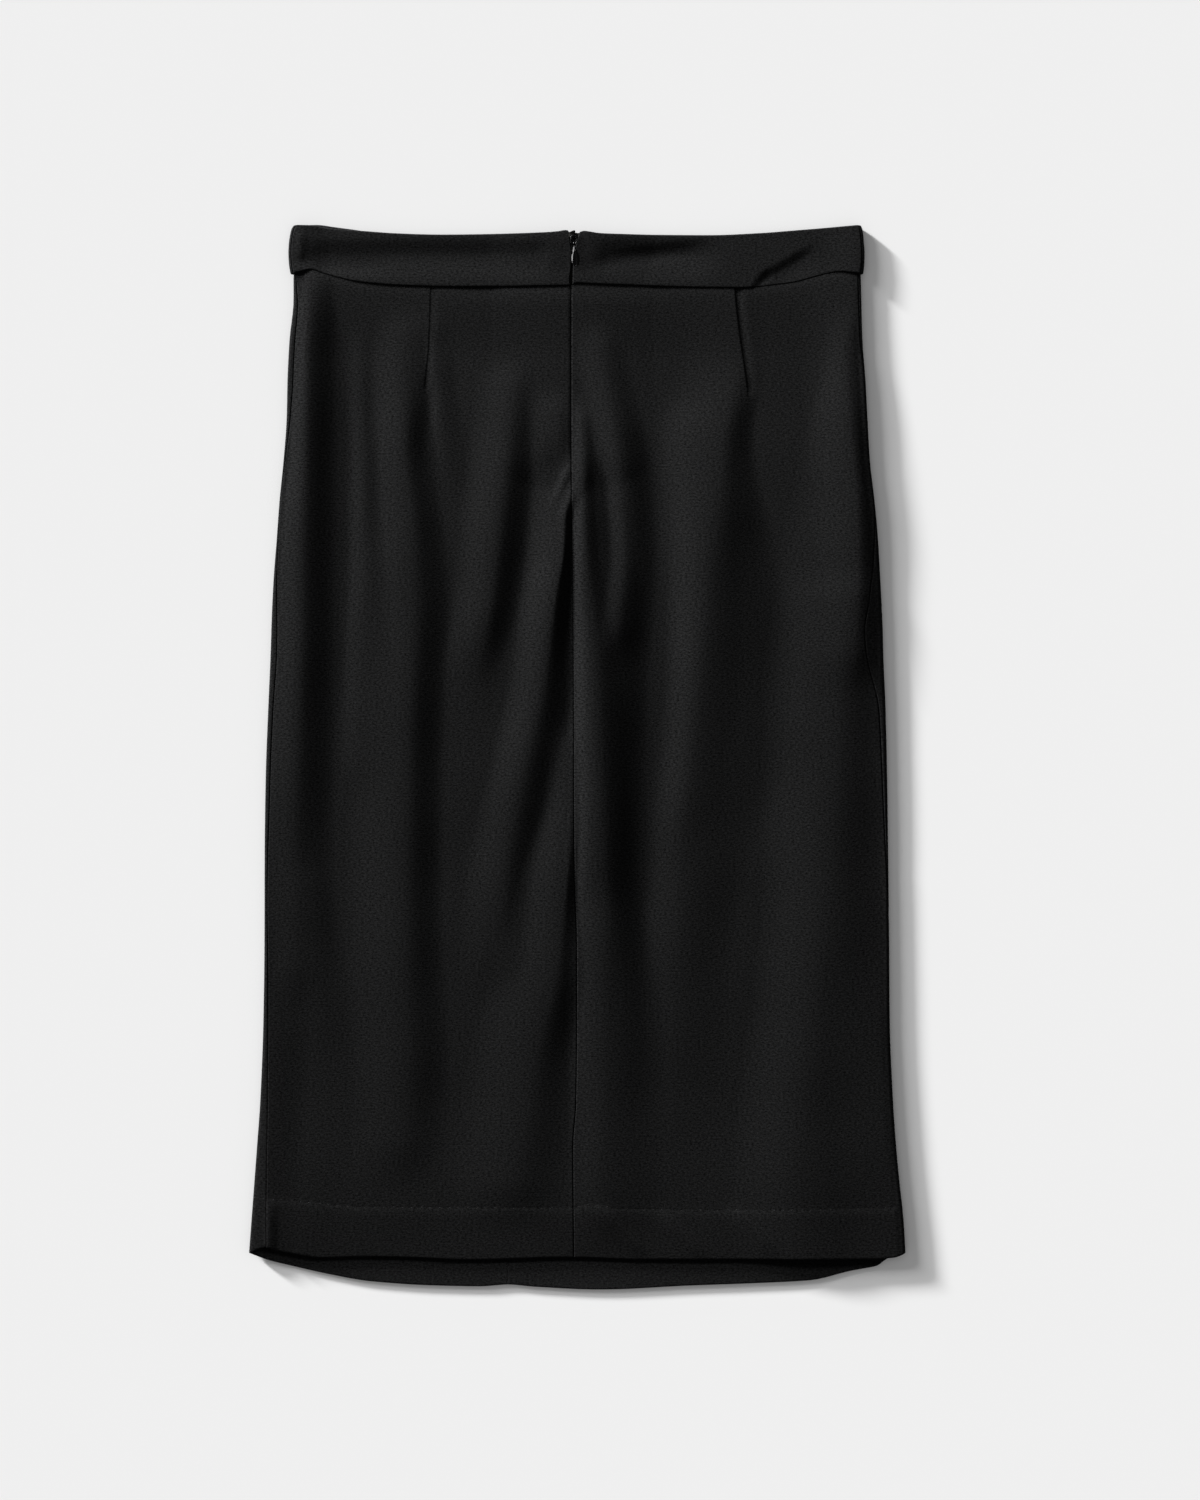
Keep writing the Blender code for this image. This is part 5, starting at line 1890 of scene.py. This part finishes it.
class Waver(NamedTuple):
    """Small unevenness from stitch to stitch: size times the sine of rate times number plus phase."""
    size: float
    rate: float
    phase: float = 0.0

    def of(self, number: Array) -> Array:
        """The unevenness of each numbered stitch."""
        return self.size * np.sin(self.rate * number + self.phase)


@dataclass
class HemStitches:
    """Blind stitches: short ends of thread that sink into the cloth along the hem's line."""
    length: float = 1.7
    thickness: float = 0.24
    reach: float = 216.0
    sunk: float = 0.07
    seam_place: float = -1.9
    seam_clear: float = 3.0          # no stitch is nearer to the centre seam than this
    aside: Waver = Waver(0.5, 2.3)
    down: Waver = Waver(0.25, 1.7, 0.5)
    askew: Waver = Waver(0.22, 3.1)  # radians

    def build(self, thread: bpy.types.Material) -> Piece:
        """Set one small rounded stitch at each dip of the sewn line, each a little askew.

        Args:
            thread: the stitches' finish.

        Returns:
            All the stitches as one piece.
        """
        number = np.arange(int(2 * self.reach / STITCH_PITCH))
        across = -self.reach + STITCH_PITCH * (number + 0.5) + self.aside.of(number)
        kept = np.abs(across - self.seam_place) > self.seam_clear
        number, across = number[kept], across[kept]
        level = HEM.line(across) + self.down.of(number)
        height = SKIRT.top(across, level) + HEM.heights(across, level) - self.sunk
        one, blocks = rounded_block((self.length, self.thickness, self.thickness), (0.0, 0.0, 0.0),
                                    power=2.0, steps=10, levels=6)
        cosine, sine = (value(self.askew.of(number))[:, None] for value in (np.cos, np.sin))
        x, y = one[:, 0] * cosine - one[:, 1] * sine, one[:, 0] * sine + one[:, 1] * cosine
        turned = np.stack([x, y, np.broadcast_to(one[:, 2], x.shape)], axis=-1)
        points = to_frame(across, level, height)[:, None] + MM * turned
        body = joined((stitch, blocks) for stitch in points)
        piece = new_object("hem_stitches", body, thread, body[0][:, :2])
        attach(piece, SKIRT_BODY)
        LOG.info("hem: %d stitches", len(number))
        return piece


# ---------------- studio
class Target(Enum):
    """What a lamp shines on."""
    FLOOR = "lit_floor"
    CLOTH = "lit_cloth"
    METAL = "lit_metal"
    FRONT_HEM = "lit_front_hem"


class Shadow(Enum):
    """What casts a lamp's shadows."""
    ALL = 1
    CLOTH_ALONE = 2


def hang(data: bpy.types.Light, towards: Vector, place: Vector) -> bpy.types.Object:
    """Link a light to the scene.

    Args:
        data: the light.
        towards: direction that its back faces.
        place: where it hangs.

    Returns:
        Its object.
    """
    light = bpy.data.objects.new(data.name, data)
    light.location = place
    light.rotation_mode = "QUATERNION"
    light.rotation_quaternion = towards.to_track_quat("Z", "Y")
    bpy.context.scene.collection.objects.link(light)
    return light


@dataclass(frozen=True)
class Lamp:
    """A far lamp: its strength, where it stands and how wide it looks, in degrees."""
    name: str
    target: Target
    strength: float
    elevation: float
    azimuth: float
    size: float
    shadow: Shadow = Shadow.ALL

    def build(self) -> bpy.types.Object:
        """Turn the lamp so that it shines from its place towards the skirt.

        Returns:
            The lamp's object.
        """
        data = bpy.data.lights.new(self.name, "SUN")
        data.energy = self.strength
        data.angle = radians(self.size)
        turn, lift = radians(self.azimuth), radians(self.elevation)
        towards = Vector((cos(lift) * cos(turn), cos(lift) * sin(turn), sin(lift)))
        return hang(data, towards, Vector((0.0, 0.0, 0.0)))


@dataclass(frozen=True)
class Softbox:
    """A softbox: its power in watts, its place, what it faces, and its width and depth in metres."""
    name: str
    target: Target
    power: float
    place: Point
    facing: Point
    size: tuple[float, float]
    shadow: Shadow = Shadow.ALL

    def build(self) -> bpy.types.Object:
        """Turn the softbox to what it faces, its width level.

        Returns:
            The softbox's object.
        """
        data = bpy.data.lights.new(self.name, "AREA")
        data.shape = "RECTANGLE"
        data.size, data.size_y = self.size
        data.energy = self.power
        return hang(data, Vector(self.place) - Vector(self.facing), Vector(self.place))


@dataclass(frozen=True)
class Studio:
    """Plain pale floor and low soft lamps from the upper left, and the camera straight above.

    The cloth has lamps of its own, weaker than the floor's, and a softbox beyond the waist from
    which it darkens towards the hem. The metal is small and stands high, so its shadow is kept
    off the cloth's sharper lamps.
    """
    floor_tone: float = 0.80
    floor_reach: float = 40.0
    floor_height: float = -0.0003    # just below the cloth
    sky: float = 0.085
    camera_place: Point = (0.0154, 0.0049, 2.204)
    frame_height: float = 1.02
    lights: tuple[Lamp | Softbox, ...] = (
        Lamp("floor_key", Target.FLOOR, 9.5, 9.8, 142.0, 5.0),
        Lamp("floor_soft", Target.FLOOR, 2.8, 17.0, 142.0, 16.0),
        Lamp("floor_fill", Target.FLOOR, 0.70, 90.0, 0.0, 180.0),
        Lamp("cloth_key", Target.CLOTH, 4.4, 9.8, 142.0, 5.0, Shadow.CLOTH_ALONE),
        Lamp("cloth_soft", Target.CLOTH, 1.0, 17.0, 142.0, 16.0),
        Lamp("glint", Target.METAL, 2.4, 61.0, 165.0, 19.0),
        Lamp("upper_glint", Target.METAL, 0.012, 83.0, 178.0, 3.0),
        Softbox("beyond_the_waist", Target.CLOTH, 100.0, (-0.7, 2.0, 0.3), (0.0, 0.0, 0.0),
                (0.4, 0.4), Shadow.CLOTH_ALONE),
        Softbox("hem_fill", Target.FRONT_HEM, 0.24, (0.0, -0.22, 0.10), (0.01, -0.355, 0.0),
                (0.36, 0.03)),
    )

    def floor(self) -> Piece:
        """Lay a wide plane just below the cloth.

        Returns:
            The floor.
        """
        corners = np.array([[-1.0, -1.0], [1.0, -1.0], [1.0, 1.0], [-1.0, 1.0]]) * self.floor_reach
        points = np.concatenate([corners, np.full((4, 1), self.floor_height)], axis=1)
        material, shader = new_material("pale_floor")
        shader.inputs["Base Color"].default_value = (self.floor_tone,) * 3 + (1.0,)
        shader.inputs["Roughness"].default_value = 1.0
        shader.inputs["Specular IOR Level"].default_value = 0.0
        piece = new_object("floor", (points, [np.arange(4)[None]]), material)
        return piece

    def light(self, pieces: dict[Target, list[Piece]]) -> None:
        """Hang every light and link it to what it shines on.

        Args:
            pieces: the objects that each kind of lamp lights.
        """
        world = bpy.data.worlds.new("sky")
        world.use_nodes = True
        background = world.node_tree.nodes["Background"]
        background.inputs["Color"].default_value = (1.0, 1.0, 1.0, 1.0)
        background.inputs["Strength"].default_value = self.sky
        bpy.context.scene.world = world
        lit = {target: collection_of(target.value, members) for target, members in pieces.items()}
        for piece in pieces[Target.METAL]:
            lit[Target.CLOTH].objects.link(piece)
        cloth_alone = collection_of("casting_cloth", pieces[Target.CLOTH])
        for lamp in self.lights:
            light = lamp.build()
            light.light_linking.receiver_collection = lit[lamp.target]
            if lamp.shadow is Shadow.CLOTH_ALONE:
                light.light_linking.blocker_collection = cloth_alone

    def camera(self) -> None:
        """Straight above the skirt, as far away as a ceiling stand."""
        data = bpy.data.cameras.new("camera")
        data.sensor_width = 36.0
        data.lens = data.sensor_width * self.camera_place[2] / self.frame_height
        camera = bpy.data.objects.new("camera", data)
        camera.location = self.camera_place
        bpy.context.scene.collection.objects.link(camera)
        bpy.context.scene.camera = camera
        bpy.context.scene.view_settings.view_transform = "Standard"


def collection_of(name: str, members: Iterable[Piece]) -> bpy.types.Collection:
    """Gather objects in a collection that isn't in the scene.

    Args:
        name: its name.
        members: the objects.

    Returns:
        The collection.
    """
    collection = bpy.data.collections.new(name)
    for piece in members:
        collection.objects.link(piece)
    return collection


def report(pieces: Iterable[Piece]) -> None:
    """Log the size and the finish of each piece."""
    for piece in pieces:
        LOG.info("%s: %d points, %d faces, %s", piece.name, len(piece.data.vertices),
                 len(piece.data.polygons), piece.active_material.name)


def main() -> None:
    """Build every piece in order, and the studio round them."""
    logging.basicConfig(level=logging.INFO, format="%(name)s %(message)s")
    grain = GrainGroup()
    crepe, thread = CREPE.make(grain), THREAD.make(grain)
    tape_cloth, enamel = TAPE_CLOTH.make(grain), ENAMEL.make()
    panels = SkirtPanels().build(crepe)
    band = Waistband().build(crepe)
    zip_tape = ZipTape()
    strips = [zip_tape.tape(tape_cloth), zip_tape.coil(thread), zip_tape.tip(tape_cloth)]
    metal = [ZipSlider().build(enamel), ZipPull().build(enamel)]
    stitches = HemStitches().build(thread)
    cloth = panels + band + strips + [stitches]
    report(cloth + metal)
    studio = Studio()
    studio.light({Target.FLOOR: [studio.floor()], Target.CLOTH: cloth, Target.METAL: metal,
                  Target.FRONT_HEM: panels[:2]})
    studio.camera()


if __name__ == "__main__":
    main()
